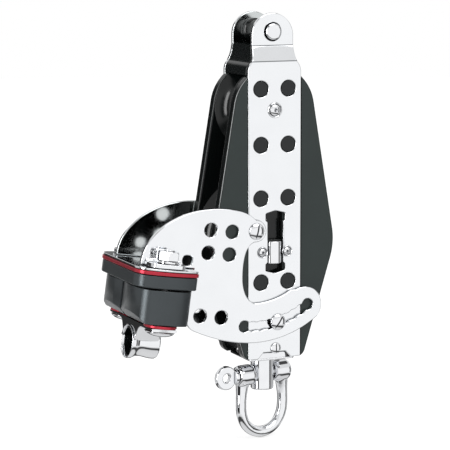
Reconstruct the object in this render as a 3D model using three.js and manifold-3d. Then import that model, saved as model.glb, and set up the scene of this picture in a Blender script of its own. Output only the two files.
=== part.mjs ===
// A fiddle block: two in-line sheaves between moulded cheeks and steel straps, a becket on top,
// a swivelling shackle below, and an adjustable arm that carries a cam cleat.
// Millimetres. X is across the block, Y runs through the cheeks, Z is up.
// The parts are laid out about the lower sheave's axle, and the finished group is lowered so that
// its origin is the centre of the becket pin.
import * as THREE from "three";
import { mergeVertices } from "three/addons/utils/BufferGeometryUtils.js";
import Module from "manifold-3d";

const wasm = await Module();
wasm.setup();

// Driving dimensions
const LOWER_R = 37.5; // lower sheave
const UPPER_R = 25.5; // upper sheave
const UPPER_Z = 76.7; // upper axle above the lower one
const BECKET_Z = 121.5; // becket pin above the lower axle
const FLANGE_Y = 11; // half width of both sheaves
const CHEEK_IN = 11.4;
const CHEEK_OUT = 17.9;
const STRAP_IN = 15.5;
const STRAP_OUT = 18;
const ARM_IN = 18.1;
const ARM_OUT = 20.6;
const STRAP_HALF = 16.75; // half the strap's width
const STRAP_FOOT = -68.8; // lower end of the straps
const PIPS = [89, 56.7, 25.7, -23.4]; // heights of the cheek studs that show through the straps
const PIP_X = 8.6;
const PIP_R = 4.5;
const HUB_SCREW = { x: 7.8, z: -5.7 };
const PIVOT = { x: -12.7, z: 7.3 }; // arm pivot
const LOCK = { x: 0.9, z: -46.7 }; // lock screw
const SLOT_R = 55.7; // lock screw's distance from the pivot
const SET_SCREW = { x: 0.6, z: -62.8 };
const SWITCH_X = 0.6; // middle of the ratchet switch's slot
const ARM_TILT = 8.1; // degrees
const CLEAT_U = -55; // cam axes, along the arm from its pivot
const CAM_Y = 27; // cam axes, either side of the middle plane
const POST_Z = -80.9; // shackle pin
const SHACKLE_YAW = 12; // degrees
const TEETH = 24; // ratchet teeth in the lower sheave
const GAP = 0.3; // clearance between pieces inside the tilted arm
const RUN = 0.1; // running clearance
const SIDES = { near: -1, far: 1 };

const RAD = Math.PI / 180;

// Materials
function finish(color, roughness, metalness) {
  return new THREE.MeshStandardMaterial({ color, roughness, metalness });
}
const polished = finish(0xe6e8ec, 0.12, 1);
const chrome = finish(0xd8dbe0, 0.08, 1);
const cheekPlastic = finish(0x3d4545, 0.45, 0);
const blackGloss = finish(0x0b0e0e, 0.2, 0);
const anodised = finish(0x3a4043, 0.35, 0.6);
const redAnodised = finish(0xa8323c, 0.35, 0.4);
const bearing = finish(0xd9d6c8, 0.5, 0);
const bronze = finish(0x8d9094, 0.4, 0.8);

// A closed solid from a three.js geometry
function solid(geometry) {
  const bare = new THREE.BufferGeometry();
  bare.setAttribute("position", geometry.getAttribute("position"));
  if (geometry.index) bare.setIndex(geometry.index);
  const merged = mergeVertices(bare, 1e-4);
  const index = merged.index.array;
  const kept = [];
  for (let i = 0; i < index.length; i += 3) {
    const [a, b, c] = index.slice(i, i + 3);
    if (a !== b && b !== c && c !== a) kept.push(a, b, c);
  }
  const vertProperties = new Float32Array(merged.getAttribute("position").array);
  const triVerts = new Uint32Array(kept);
  const made = new wasm.Manifold(new wasm.Mesh({ numProp: 3, vertProperties, triVerts }));
  if (made.volume() > 0) return made;
  for (let i = 0; i < triVerts.length; i += 3) {
    const first = triVerts[i + 1];
    triVerts[i + 1] = triVerts[i + 2];
    triVerts[i + 2] = first;
  }
  return new wasm.Manifold(new wasm.Mesh({ numProp: 3, vertProperties, triVerts }));
}

function join(...pieces) {
  return pieces.reduce((whole, piece) => whole.add(piece));
}

function cut(body, ...tools) {
  return tools.reduce((rest, tool) => rest.subtract(tool), body);
}

// A box from its low corner to its high corner
function block(low, high) {
  const size = high.map((value, i) => value - low[i]);
  const geometry = new THREE.BoxGeometry(...size);
  geometry.translate(...low.map((value, i) => value + size[i] / 2));
  return solid(geometry);
}

// An outline in X and Z, extruded from y0 to y1
function plate(shape, y0, y1, curveSegments = 10) {
  const geometry = new THREE.ExtrudeGeometry(shape, {
    depth: y1 - y0,
    bevelEnabled: false,
    curveSegments,
  });
  geometry.rotateX(Math.PI / 2);
  geometry.translate(0, y1, 0);
  return solid(geometry);
}

// An outline in X and Y, extruded from z0 to z1
function slab(shape, z0, z1, curveSegments = 10) {
  const geometry = new THREE.ExtrudeGeometry(shape, {
    depth: z1 - z0,
    bevelEnabled: false,
    curveSegments,
  });
  geometry.translate(0, 0, z0);
  return solid(geometry);
}

// An outline in Y and Z, extruded from x0 to x1
function bar(shape, x0, x1) {
  const geometry = new THREE.ExtrudeGeometry(shape, {
    depth: x1 - x0,
    bevelEnabled: false,
    curveSegments: 6,
  });
  geometry.rotateY(Math.PI / 2);
  geometry.rotateX(Math.PI / 2);
  geometry.translate(x0, 0, 0);
  return solid(geometry);
}

// A profile of [radius, height] turned about Y, Z or X
function turned(profile, segments, axis = "y", at = [0, 0, 0]) {
  const points = profile.map(([radius, height]) => new THREE.Vector2(radius, height));
  const geometry = new THREE.LatheGeometry([...points, points[0]], segments);
  if (axis === "z") geometry.rotateX(Math.PI / 2);
  if (axis === "x") geometry.rotateZ(-Math.PI / 2);
  geometry.translate(...at);
  return solid(geometry);
}

// A round rod between two heights on an axis
function rod(radius, from, to, segments = 16, axis = "y", at = [0, 0, 0]) {
  const profile = [
    [0, from],
    [radius, from],
    [radius, to],
    [0, to],
  ];
  return turned(profile, segments, axis, at);
}

// A ring between two radii and two heights
function ring(inner, outer, from, to, segments = 24, axis = "y", at = [0, 0, 0]) {
  const profile = [
    [inner, from],
    [outer, from],
    [outer, to],
    [inner, to],
  ];
  return turned(profile, segments, axis, at);
}

// A shape through points; an entry [x, y, radius] rounds that corner
function outline(corners) {
  const shape = new THREE.Shape();
  corners.forEach(([x, y, radius = 0], i) => {
    const before = corners[(i + corners.length - 1) % corners.length];
    const after = corners[(i + 1) % corners.length];
    const here = new THREE.Vector2(x, y);
    const back = new THREE.Vector2(before[0] - x, before[1] - y).normalize();
    const on = new THREE.Vector2(after[0] - x, after[1] - y).normalize();
    const half = Math.acos(THREE.MathUtils.clamp(back.dot(on), -1, 1)) / 2;
    const reach = radius / Math.tan(half);
    const start = here.clone().addScaledVector(back, reach);
    const end = here.clone().addScaledVector(on, reach);
    if (i === 0) shape.moveTo(start.x, start.y);
    else shape.lineTo(start.x, start.y);
    if (radius > 0) shape.quadraticCurveTo(x, y, end.x, end.y);
  });
  shape.closePath();
  return shape;
}

// A mesh that shows a solid
function mesh(name, piece, material) {
  const made = piece.getMesh();
  const geometry = new THREE.BufferGeometry();
  geometry.setAttribute("position", new THREE.BufferAttribute(made.vertProperties, 3));
  geometry.setIndex(new THREE.BufferAttribute(made.triVerts, 1));
  geometry.computeVertexNormals();
  const shown = new THREE.Mesh(geometry, material);
  shown.name = name;
  return shown;
}

// The same solid on the other side of the middle plane
function mirrored(piece) {
  return piece.mirror([0, 1, 0]);
}

// A depth measured outwards from the middle plane, on one side
function span(side, a, b) {
  return side < 0 ? [-b, -a] : [a, b];
}

// Cheeks: two discs joined by tangents, narrowing to a cut-off foot
function cheekShape() {
  const upper = 25.6;
  const lower = 38.2;
  const foot = { x: 20.2, z: -64.6 };
  const lean = Math.asin((lower - upper) / UPPER_Z);
  const reach = Math.hypot(foot.x, foot.z);
  const low = Math.atan2(foot.z, foot.x) + Math.acos(lower / reach);
  const shape = new THREE.Shape();
  shape.moveTo(-17, STRAP_FOOT);
  shape.lineTo(-11, STRAP_FOOT);
  shape.lineTo(-9, -65.4);
  shape.lineTo(9, -65.4);
  shape.lineTo(11, STRAP_FOOT);
  shape.lineTo(17, STRAP_FOOT);
  shape.quadraticCurveTo(19.6, -67.4, foot.x, foot.z);
  shape.absarc(0, 0, lower, low, lean, false);
  shape.absarc(0, UPPER_Z, upper, lean, Math.PI - lean, false);
  shape.absarc(0, 0, lower, Math.PI - lean, Math.PI - low, false);
  shape.lineTo(-foot.x, foot.z);
  shape.quadraticCurveTo(-19.6, -67.4, -17, STRAP_FOOT);
  return shape;
}

// The holes for the screws that pass through the straps and cheeks
function screwHoles(from, to) {
  const holes = [
    rod(3.1, from, to, 12, "y", [PIVOT.x, 0, PIVOT.z]),
    rod(2.3, from, to, 8, "y", [LOCK.x, 0, LOCK.z]),
  ];
  for (const x of [-HUB_SCREW.x, HUB_SCREW.x]) {
    holes.push(rod(1.5, from, to, 8, "y", [x, 0, HUB_SCREW.z]));
  }
  return holes;
}

function cheek(side) {
  const [y0, y1] = span(side, CHEEK_IN, CHEEK_OUT);
  const [floor, mouth] = span(side, STRAP_IN - RUN, CHEEK_OUT + 1);
  const channel = block([-17.05, floor, -80], [17.05, mouth, 120]);
  const pocket = outline([
    [SWITCH_X - 5.45, -18.6, 2],
    [SWITCH_X + 5.45, -18.6, 2],
    [SWITCH_X + 5.45, 18.6, 2],
    [SWITCH_X - 5.45, 18.6, 2],
  ]);
  let body = cut(
    plate(cheekShape(), y0, y1, 9),
    channel,
    rod(5.2, -20, 20, 16, "y", [0, 0, UPPER_Z]),
    ...screwHoles(...span(side, CHEEK_IN - 1, CHEEK_OUT)),
  );
  for (const z of PIPS) {
    for (const x of [-PIP_X, PIP_X]) {
      body = body.add(rod(PIP_R, ...span(side, STRAP_IN - 1, STRAP_OUT), 10, "y", [x, 0, z]));
    }
  }
  if (side > 0) return body;
  const well = outline([
    [5, -21, 2],
    [14, -21.5, 3],
    [14, -13, 3],
    [5, -13.5, 1],
  ]);
  const pawlWell = plate(well, -14.4, -CHEEK_IN + 1);
  return cut(
    body,
    plate(pocket, -STRAP_IN - 0.2, -CHEEK_IN + 1),
    rod(1.9, -STRAP_OUT, -CHEEK_IN + 1, 8, "y", [SET_SCREW.x, 0, SET_SCREW.z]),
    pawlWell,
    pawlWell.mirror([1, 0, 0]),
  );
}

// Straps: a long plate that steps inwards to a rounded lug
const BEND_LOW = 104.7;
const BEND_HIGH = 113.6;
const LUG_STEP = 3;
const LUG_HALF = 13;
const LUG_Z = 119.2;

function strapShape() {
  const shape = new THREE.Shape();
  shape.moveTo(-STRAP_HALF, STRAP_FOOT);
  shape.lineTo(-10.4, STRAP_FOOT);
  shape.lineTo(-7, -65);
  shape.lineTo(7, -65);
  shape.lineTo(10.4, STRAP_FOOT);
  shape.lineTo(STRAP_HALF, STRAP_FOOT);
  shape.lineTo(STRAP_HALF, 98.5);
  shape.quadraticCurveTo(STRAP_HALF, 101.5, 14.6, 104);
  shape.quadraticCurveTo(LUG_HALF, 107.5, LUG_HALF, 112);
  shape.absarc(0, LUG_Z, LUG_HALF, 0, Math.PI, false);
  shape.lineTo(-LUG_HALF, 112);
  shape.quadraticCurveTo(-LUG_HALF, 107.5, -14.6, 104);
  shape.quadraticCurveTo(-STRAP_HALF, 101.5, -STRAP_HALF, 98.5);
  shape.closePath();
  return shape;
}

// The dumbbell slot that the ratchet switch slides in
function switchSlot(y0, y1) {
  const narrow = 4.9;
  const wide = 6.1;
  const shape = outline([
    [-wide, -16.8, 0.8],
    [0, -18.4, 4],
    [wide, -16.8, 0.8],
    [wide, -13],
    [narrow, -11.8],
    [narrow, 11.8],
    [wide, 13],
    [wide, 16.8, 0.8],
    [0, 18.4, 4],
    [-wide, 16.8, 0.8],
    [-wide, 13],
    [-narrow, 11.8],
    [-narrow, -11.8],
    [-wide, -13],
  ]);
  return plate(shape, y0, y1, 3).translate([SWITCH_X, 0, 0]);
}

function strap(side) {
  const bent = outline([
    [STRAP_IN, STRAP_FOOT - 1],
    [STRAP_OUT, STRAP_FOOT - 1],
    [STRAP_OUT, BEND_LOW],
    [STRAP_OUT - LUG_STEP, BEND_HIGH],
    [STRAP_OUT - LUG_STEP, 140],
    [STRAP_IN - LUG_STEP, 140],
    [STRAP_IN - LUG_STEP, BEND_HIGH - 0.6],
    [STRAP_IN, BEND_LOW - 0.6],
  ]);
  const holes = screwHoles(10, 20);
  for (const z of PIPS) {
    for (const x of [-PIP_X, PIP_X]) {
      holes.push(rod(PIP_R + 2 * RUN, 10, 20, 10, "y", [x, 0, z]));
    }
  }
  const sink = [
    [0, 14.2],
    [4.8, 14.2],
    [5.6, 15.1],
    [0, 15.1],
  ];
  holes.push(rod(2.6, 10, 20, 12, "y", [0, 0, UPPER_Z]));
  holes.push(rod(4.8, 10, 20, 16, "y", [0, 0, BECKET_Z]));
  holes.push(turned(sink, 16, "y", [0, 0, BECKET_Z]));
  const whole = bar(bent, -20, 20).intersect(plate(strapShape(), 10, 20, 7));
  if (side > 0) return cut(whole, ...holes);
  holes.push(rod(1.9, 10, 20, 8, "y", [SET_SCREW.x, 0, SET_SCREW.z]));
  return cut(mirrored(cut(whole, ...holes)), switchSlot(-20, -10));
}

// Head block: fills the straps' waist above the upper sheave
const HEAD_TOP = 114.2;
function headBlock() {
  const side = outline([
    [-15.3, 90],
    [15.3, 90],
    [15.3, BEND_LOW - 0.8],
    [12.3, BEND_HIGH - 0.8],
    [12.3, HEAD_TOP],
    [-12.3, HEAD_TOP],
    [-12.3, BEND_HIGH - 0.8],
    [-15.3, BEND_LOW - 0.8],
  ]);
  const front = new THREE.Shape();
  front.moveTo(-17, 90);
  front.lineTo(17, 90);
  front.lineTo(17, 98.5);
  front.quadraticCurveTo(17, 101.8, 14.6, 104);
  front.quadraticCurveTo(12.7, 107.5, 12.7, HEAD_TOP);
  front.lineTo(-12.7, HEAD_TOP);
  front.quadraticCurveTo(-12.7, 107.5, -14.6, 104);
  front.quadraticCurveTo(-17, 101.8, -17, 98.5);
  front.closePath();
  const saddle = rod(26.4, -20, 20, 36, "y", [0, 0, UPPER_Z]);
  return cut(bar(side, -20, 20).intersect(plate(front, -20, 20, 8)), saddle);
}

function becketBobbin() {
  const profile = [
    [4.8, -12.2],
    [6.9, -12.2],
    [6.9, -9.6],
    [5.6, -6.5],
    [5.6, 6.5],
    [6.9, 9.6],
    [6.9, 12.2],
    [4.8, 12.2],
  ];
  return turned(profile, 20, "y", [0, 0, BECKET_Z]);
}

function becketPin() {
  const profile = [
    [0, -17],
    [4.1, -17],
    [4.7, -16.4],
    [4.7, 16.4],
    [4.1, 17],
    [0, 17],
  ];
  return turned(profile, 16, "y", [0, 0, BECKET_Z]);
}

// A low domed screw head with a socket, and its shank, pointing away from the middle plane
function socketScrew(side, head, rise, shank, tip, sit, at) {
  const profile = [
    [0, tip],
    [shank, tip],
    [shank, sit],
    [head, sit],
    [head * 0.86, sit + rise * 0.7],
    [head * 0.6, sit + rise],
    [0, sit + rise],
  ];
  const body = turned(profile, 12, "y", at);
  const socket = rod(head * 0.45, sit + rise * 0.1, sit + rise + 1, 6, "y", at);
  return side > 0 ? body.subtract(socket) : mirrored(body.subtract(socket));
}

// A cheese-headed screw with a driver slot across its head
function slottedScrew(side, head, rise, shank, tip, sit, at, turn) {
  const profile = [
    [0, tip],
    [shank, tip],
    [shank, sit],
    [head, sit],
    [head, sit + rise * 0.6],
    [head * 0.8, sit + rise],
    [0, sit + rise],
  ];
  const notch = new THREE.BoxGeometry(head * 0.28, rise, head * 3);
  notch.rotateY(turn * RAD);
  notch.translate(at[0], sit + rise, at[2]);
  const body = turned(profile, 12, "y", at).subtract(solid(notch));
  return side > 0 ? body : mirrored(body);
}

// Sheaves
function grooved(radius, groove, bore, seat) {
  return turned(
    [
      [bore, -seat],
      [bore + 3, -seat],
      [bore + 4.5, -FLANGE_Y + 0.6],
      [radius - 0.8, -FLANGE_Y],
      [radius, -FLANGE_Y + 0.8],
      [groove + 1.6, -5],
      [groove, -2.4],
      [groove, 2.4],
      [groove + 1.6, 5],
      [radius, FLANGE_Y - 0.8],
      [radius - 0.8, FLANGE_Y],
      [bore + 4.5, FLANGE_Y - 0.6],
      [bore + 3, seat],
      [bore, seat],
    ],
    32,
  );
}

function upperSheave() {
  return grooved(UPPER_R, 18.6, 10.8, 7.5).translate([0, 0, UPPER_Z]);
}

// The lower sheave has ratchet teeth cut inside a recess on its near side
function lowerSheave() {
  const tooth = new THREE.Shape();
  const tip = 24.8;
  const root = 27;
  const pitch = (2 * Math.PI) / TEETH;
  const phase = 0.58; // gaps face both pawls
  for (let i = 0; i < TEETH; i += 1) {
    const at = (i + phase) * pitch;
    const points = [
      [tip, at],
      [root, at + 0.12 * pitch],
      [root, at + 0.72 * pitch],
    ];
    points.forEach(([r, a], k) => {
      const x = r * Math.cos(a);
      const z = r * Math.sin(a);
      if (i === 0 && k === 0) tooth.moveTo(x, z);
      else tooth.lineTo(x, z);
    });
  }
  tooth.closePath();
  return grooved(LOWER_R, 30, 17.2, 7.5).subtract(plate(tooth, -FLANGE_Y - 1, -7.6));
}

// A bearing cage: a band with balls let into it
function ballCage(radius, ball, count, z) {
  let cage = ring(radius - 0.8, radius + 0.8, -6, 6, 20, "y", [0, 0, z]);
  for (let i = 0; i < count; i += 1) {
    const turn = (i / count) * 2 * Math.PI;
    const sphere = new THREE.IcosahedronGeometry(ball);
    sphere.translate(radius * Math.cos(turn), 0, z + radius * Math.sin(turn));
    cage = cage.add(solid(sphere));
  }
  return cage;
}

function lowerHub() {
  const body = ring(5, 11.4, -11.3, 11.3, 24);
  const holes = [-HUB_SCREW.x, HUB_SCREW.x].map((x) =>
    rod(1.5, -12, 12, 10, "y", [x, 0, HUB_SCREW.z]),
  );
  return cut(body, ...holes);
}

// Ratchet switch: a thumb piece in the strap's slot on a carriage behind it
function ratchetSwitch() {
  const thumb = outline([
    [-4.2, -12.6, 0.8],
    [4.2, -12.6, 0.8],
    [4.2, 0.4, 0.8],
    [-4.2, 0.4, 0.8],
  ]);
  const crown = new THREE.CylinderGeometry(5.2, 5.2, 13, 24);
  crown.rotateX(Math.PI / 2);
  crown.translate(0, -14.1, -6.1);
  const piece = plate(thumb, -20, -14.6, 3).intersect(solid(crown));
  const carriage = block([-5.2, -15, -13.3], [5.2, -12, 1.1]);
  return piece.add(carriage).translate([SWITCH_X, 0, 0]);
}

// Ratchet pawl on the right; the left one is its mirror image
const PAWL = { x: 9.5, z: -17.5 };
function pawl() {
  const blade = outline([
    [PAWL.x - 2.7, PAWL.z - 0.6, 0.6],
    [PAWL.x, PAWL.z - 2.4, 1],
    [17.2, -17.6],
    [18, -16.4],
    [16.6, -15.6],
    [PAWL.x, PAWL.z + 2.4, 1],
    [PAWL.x - 2.7, PAWL.z + 1.2, 0.6],
  ]);
  const boss = rod(2.3, -14.2, -8, 10, "y", [PAWL.x, 0, PAWL.z]);
  const arm = plate(blade, -10.8, -8.8).add(boss);
  return arm.subtract(rod(1.4, -20, 0, 12, "y", [PAWL.x, 0, PAWL.z]));
}

function pawlPin() {
  return rod(1.3, -14.35, -7.8, 12, "y", [PAWL.x, 0, PAWL.z]);
}

// Foot: a plate that closes the straps' lower ends, with a boss for the swivel
function swivelBlock() {
  const foot = outline([
    [-14.5, -15.3, 2],
    [14.5, -15.3, 2],
    [14.5, 15.3, 2],
    [-14.5, 15.3, 2],
  ]);
  const body = join(
    slab(foot, -70.4, STRAP_FOOT - 0.2, 4),
    block([-8.8, -15.3, -69.4], [8.8, 15.3, -65.6]),
    block([-11, -11.2, -69.4], [11, 11.2, -52]),
  );
  const setHole = rod(1.9, -12, 0, 8, "y", [SET_SCREW.x, 0, SET_SCREW.z]);
  return cut(body, rod(4.3, -75, -45, 20, "z"), setHole);
}

function swivelNut() {
  return cut(rod(7, -51.7, -46.5, 6, "z"), rod(4.1, -60, -40, 16, "z"));
}

function swivelPost() {
  const profile = [
    [0, -90.3],
    [6.3, -90.3],
    [6.9, -89.7],
    [6.9, -70.7],
    [4, -70.7],
    [4, -45.6],
    [0, -45.6],
  ];
  return cut(turned(profile, 20, "z"), rod(3.4, -10, 10, 14, "x", [0, 0, POST_Z]));
}

// Shackle, in its own frame: the pin along X
const EAR_IN = 7.4;
const EAR_OUT = 18.5;
const LEG_X = 15.2;
const WIRE_R = 3.25;
function shackleBow() {
  const straight = 19;
  const legs = new THREE.CurvePath();
  const left = new THREE.Vector3(-LEG_X, 0, 0);
  const leftLow = new THREE.Vector3(-LEG_X, 0, -straight);
  const rightLow = new THREE.Vector3(LEG_X, 0, -straight);
  const right = new THREE.Vector3(LEG_X, 0, 0);
  const drop = (36 - straight) * (4 / 3);
  legs.add(new THREE.LineCurve3(left, leftLow));
  legs.add(
    new THREE.CubicBezierCurve3(
      leftLow,
      new THREE.Vector3(-LEG_X, 0, -straight - drop),
      new THREE.Vector3(LEG_X, 0, -straight - drop),
      rightLow,
    ),
  );
  legs.add(new THREE.LineCurve3(rightLow, right));
  const section = new THREE.Shape();
  section.absarc(0, 0, WIRE_R, 0, 2 * Math.PI, false);
  const wire = new THREE.ExtrudeGeometry(section, {
    steps: 27,
    curveSegments: 5,
    bevelEnabled: false,
    extrudePath: legs,
  });
  const ears = [
    rod(6.2, -EAR_OUT, -EAR_IN, 18, "x"),
    rod(6.2, EAR_IN, EAR_OUT, 18, "x"),
  ];
  const bow = join(solid(wire), ...ears);
  const room = block([-EAR_IN, -10, -6.6], [EAR_IN, 10, 10]);
  return cut(bow, room, rod(3.4, -30, 30, 14, "x")).translate([0, 0, POST_Z]);
}

function shacklePin() {
  const shank = [
    [0, -21],
    [4.4, -21],
    [4.4, -EAR_OUT - 0.3],
    [3.2, -EAR_OUT - 0.3],
    [3.2, EAR_OUT - 0.4],
    [2.6, EAR_OUT + 0.2],
    [0, EAR_OUT + 0.2],
  ];
  const eye = ring(2.8, 7.1, -1.7, 1.7, 18, "y", [-26.4, 0, 0]);
  return turned(shank, 14, "x").add(eye).translate([0, 0, POST_Z]);
}

// Arm plates, in the arm's own frame: the pivot is the origin and the cleat lies towards -X
const FOOT_TOP = -21.8;
const FOOT_LOW = -24.2;
function armShape() {
  const shape = new THREE.Shape();
  const boss = 6.3;
  shape.moveTo(0, -boss);
  shape.absarc(0, 0, boss, -Math.PI / 2, Math.PI * 0.54, false);
  shape.bezierCurveTo(-5, 9.4, -9, 10.9, -18, 11.3);
  shape.bezierCurveTo(-33, 11.3, -45, 7.6, -56, -0.5);
  shape.bezierCurveTo(-64.5, -8, -68.5, -15, -68.8, -23);
  shape.lineTo(-68.8, FOOT_LOW);
  shape.lineTo(-36, FOOT_LOW);
  shape.lineTo(-36, -55);
  shape.quadraticCurveTo(-36, -59.3, -30.5, -60.8);
  shape.bezierCurveTo(-20, -64, -10, -65.6, 0.6, -65.4);
  shape.absarc(0, 0, 65.4, -Math.PI / 2, -49.5 * RAD, false);
  shape.absarc(37.1, -40.5, 10.8, -35 * RAD, 128 * RAD, false);
  shape.absarc(0, 0, 42.2, -50 * RAD, -84 * RAD, true);
  shape.bezierCurveTo(0.2, -40.6, -3.2, -36.5, -4.6, -29.2);
  shape.bezierCurveTo(-5.9, -21, -5.8, -12.5, -3.2, -9);
  shape.quadraticCurveTo(-2, -7.2, 0, -boss);
  return shape;
}

function lockSlot() {
  const detents = 9;
  const first = 0.2;
  const last = 44.2;
  const sweep = new THREE.Shape();
  sweep.absarc(0, 0, SLOT_R + 2.4, (first - 90) * RAD, (last - 90) * RAD, false);
  sweep.absarc(0, 0, SLOT_R - 2.4, (last - 90) * RAD, (first - 90) * RAD, true);
  const tools = [plate(sweep, 10, 30, 8)];
  for (let i = 0; i < detents; i += 1) {
    const turn = first + ((last - first) * i) / (detents - 1);
    const radius = i === 0 || i === detents - 1 ? 3.4 : 2.9;
    const at = [SLOT_R * Math.sin(turn * RAD), 0, -SLOT_R * Math.cos(turn * RAD)];
    tools.push(rod(radius, 10, 30, 8, "y", at));
  }
  return join(...tools);
}

function armPlate(side) {
  const holes = [rod(3.15, 10, 30, 12), lockSlot()];
  for (const u of [-28.4, -15.1]) {
    for (const w of [-1.5, -14.7, -51.4]) holes.push(rod(4.05, 10, 30, 10, "y", [u, 0, w]));
  }
  const window = outline([
    [-43.7, -23, 2.8],
    [-37.3, -23, 2.8],
    [-37.3, -17, 2.8],
    [-43.7, -17, 2.8],
  ]);
  holes.push(plate(window, 10, 30, 4));
  const flange = outline([
    [-67, ARM_OUT - 1],
    [-44.6, ARM_OUT - 1],
    [-46, 34, 4],
    [-66, 34, 4],
  ]);
  const upright = cut(plate(armShape(), ARM_IN, ARM_OUT, 9), ...holes);
  const foot = cut(
    slab(flange, FOOT_LOW, FOOT_TOP, 4),
    rod(3.1, -30, 0, 16, "z", [CLEAT_U, CAM_Y, 0]),
  );
  const whole = upright.add(foot);
  return side > 0 ? whole : mirrored(whole);
}

// The cleat hangs under the arm's feet: its layers share one plan shape
function cleatShape(inset) {
  const left = -74.5 + inset;
  const right = -36.8 - inset;
  const end = 36 - inset;
  const shape = new THREE.Shape();
  shape.moveTo(left + 8, -end + 1);
  shape.quadraticCurveTo(CLEAT_U, -end - 1, right - 4, -end + 3);
  shape.quadraticCurveTo(right, -end + 4, right, -end + 9);
  shape.lineTo(right, end - 9);
  shape.quadraticCurveTo(right, end - 4, right - 4, end - 3);
  shape.quadraticCurveTo(CLEAT_U, end + 1, left + 8, end - 1);
  shape.quadraticCurveTo(left, end - 3, left, end - 10);
  shape.lineTo(left, -end + 10);
  shape.quadraticCurveTo(left, -end + 3, left + 8, -end + 1);
  return shape;
}

function cleatLayer(inset, low, high) {
  const bores = [-CAM_Y, CAM_Y].map((y) => rod(3.1, -90, 0, 16, "z", [CLEAT_U, y, 0]));
  return cut(slab(cleatShape(inset), low, high, 6), ...bores);
}

const CAM_TOP = -36.6;
const CAM_FOOT = -56.3;

// Cam on the near side: a spiral face towards the middle plane and a boxy back
function camBody() {
  const growth = 0.3;
  const start = 25.3;
  const shape = new THREE.Shape();
  const faceFrom = 33;
  const faceTo = -30;
  const steps = 14;
  for (let i = 0; i <= steps; i += 1) {
    const turn = (faceFrom + ((faceTo - faceFrom) * i) / steps) * RAD;
    const radius = start * Math.exp(-growth * turn);
    const x = CLEAT_U + radius * Math.sin(turn);
    const y = -CAM_Y + radius * Math.cos(turn);
    if (i === 0) shape.moveTo(x, y);
    else shape.lineTo(x, y);
  }
  shape.lineTo(-71.2, -9);
  shape.bezierCurveTo(-72, -20, -71.5, -28, -68, -32.5);
  shape.bezierCurveTo(-64, -36, -48, -36.5, -42, -33);
  shape.bezierCurveTo(-39.2, -31, -39, -24, -39.8, -18);
  shape.closePath();
  const body = slab(shape, CAM_FOOT, CAM_TOP, 6);
  const corner = new THREE.BoxGeometry(20, 80, 20);
  corner.rotateY(-50 * RAD);
  corner.translate(-79.5, 0, CAM_FOOT - 4.5);
  return cut(body, solid(corner), rod(4.1, -90, 0, 12, "z", [CLEAT_U, -CAM_Y, 0]));
}

// Bolt through each cam: a domed head below, the shank up through the cleat and the arm's foot
function camBolt(side) {
  const profile = [
    [0, -63.4],
    [4.4, -63],
    [7.4, -61.9],
    [8.8, -60.4],
    [2.9, -60.4],
    [2.9, -14],
    [0, -14],
  ];
  return turned(profile, 14, "z", [CLEAT_U, side * CAM_Y, 0]);
}

function boltRing(side, inner, outer, low, high, segments) {
  return ring(inner, outer, low, high, segments, "z", [CLEAT_U, side * CAM_Y, 0]);
}

function boltNut(side) {
  const at = [CLEAT_U, side * CAM_Y, 0];
  return cut(rod(6.3, -20, -14.7, 6, "z", at), rod(3.1, -90, 0, 16, "z", at));
}

// Fairlead: a saddle under the cams that carries a short flared tube
function fairlead() {
  const level = -60.1;
  const thick = 1.6;
  const arch = new THREE.Shape();
  arch.moveTo(-34, level);
  arch.lineTo(-34, level + thick);
  arch.lineTo(34, level + thick);
  arch.lineTo(34, level);
  arch.lineTo(17.5, level);
  arch.bezierCurveTo(13, level, 12, -64, 9, -69.4);
  arch.lineTo(-9, -69.4);
  arch.bezierCurveTo(-12, -64, -13, level, -17.5, level);
  arch.closePath();
  const saddle = bar(arch, -62.5, -47.5);
  const centre = [0, 0, -71.6];
  const tube = [
    [7.2, -45],
    [8.9, -45.6],
    [8.9, -59],
    [9.9, -61.6],
    [9.8, -63],
    [8.8, -63.7],
    [7.6, -63],
    [7.2, -61],
  ];
  const bores = [-CAM_Y, CAM_Y].map((y) => rod(3.1, -90, 0, 16, "z", [CLEAT_U, y, 0]));
  return cut(
    join(saddle, turned(tube, 20, "x", centre)),
    rod(7.2, -80, -30, 20, "x", centre),
    ...bores,
  );
}

// Assembly
const assembly = new THREE.Group();
const frame = new THREE.Group();
frame.position.z = -BECKET_Z;
assembly.add(frame);

const upperAxle = [0, 0, UPPER_Z];
for (const [name, side] of Object.entries(SIDES)) {
  frame.add(mesh(name + "_cheek", cheek(side), cheekPlastic));
  frame.add(mesh(name + "_strap", strap(side), polished));
  const upperScrew = socketScrew(side, 4.4, 1.5, 2.4, 6, STRAP_OUT + 0.02, upperAxle);
  frame.add(mesh(name + "_upper_axle_screw", upperScrew, chrome));
  for (const [hand, x] of [["left", -HUB_SCREW.x], ["right", HUB_SCREW.x]]) {
    const at = [x, 0, HUB_SCREW.z];
    const screw = socketScrew(side, 2.6, 1, 1.3, 5, STRAP_OUT + 0.02, at);
    frame.add(mesh(name + "_hub_screw_" + hand, screw, chrome));
  }
  const pivotAt = [PIVOT.x, 0, PIVOT.z];
  const pivotScrew = slottedScrew(side, 4.6, 2.2, 2.95, 12.6, ARM_OUT + RUN, pivotAt, 35);
  frame.add(mesh(name + "_pivot_screw", pivotScrew, chrome));
  const lockAt = [LOCK.x, 0, LOCK.z];
  const lockScrew = slottedScrew(side, 4.6, 2.2, 2.1, 12.6, ARM_OUT + RUN, lockAt, 35);
  frame.add(mesh(name + "_lock_screw", lockScrew, chrome));
}
frame.add(mesh("becket_pin", becketPin(), chrome));
frame.add(mesh("becket_bobbin", becketBobbin(), blackGloss));
frame.add(mesh("head_block", headBlock(), blackGloss));
const tube = ring(2.6, 5, -15.3, 15.3, 16, "y", upperAxle);
frame.add(mesh("upper_axle_tube", tube, bronze));
frame.add(mesh("upper_inner_race", ring(5.1, 7, -7.4, 7.4, 20, "y", upperAxle), bronze));
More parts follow.
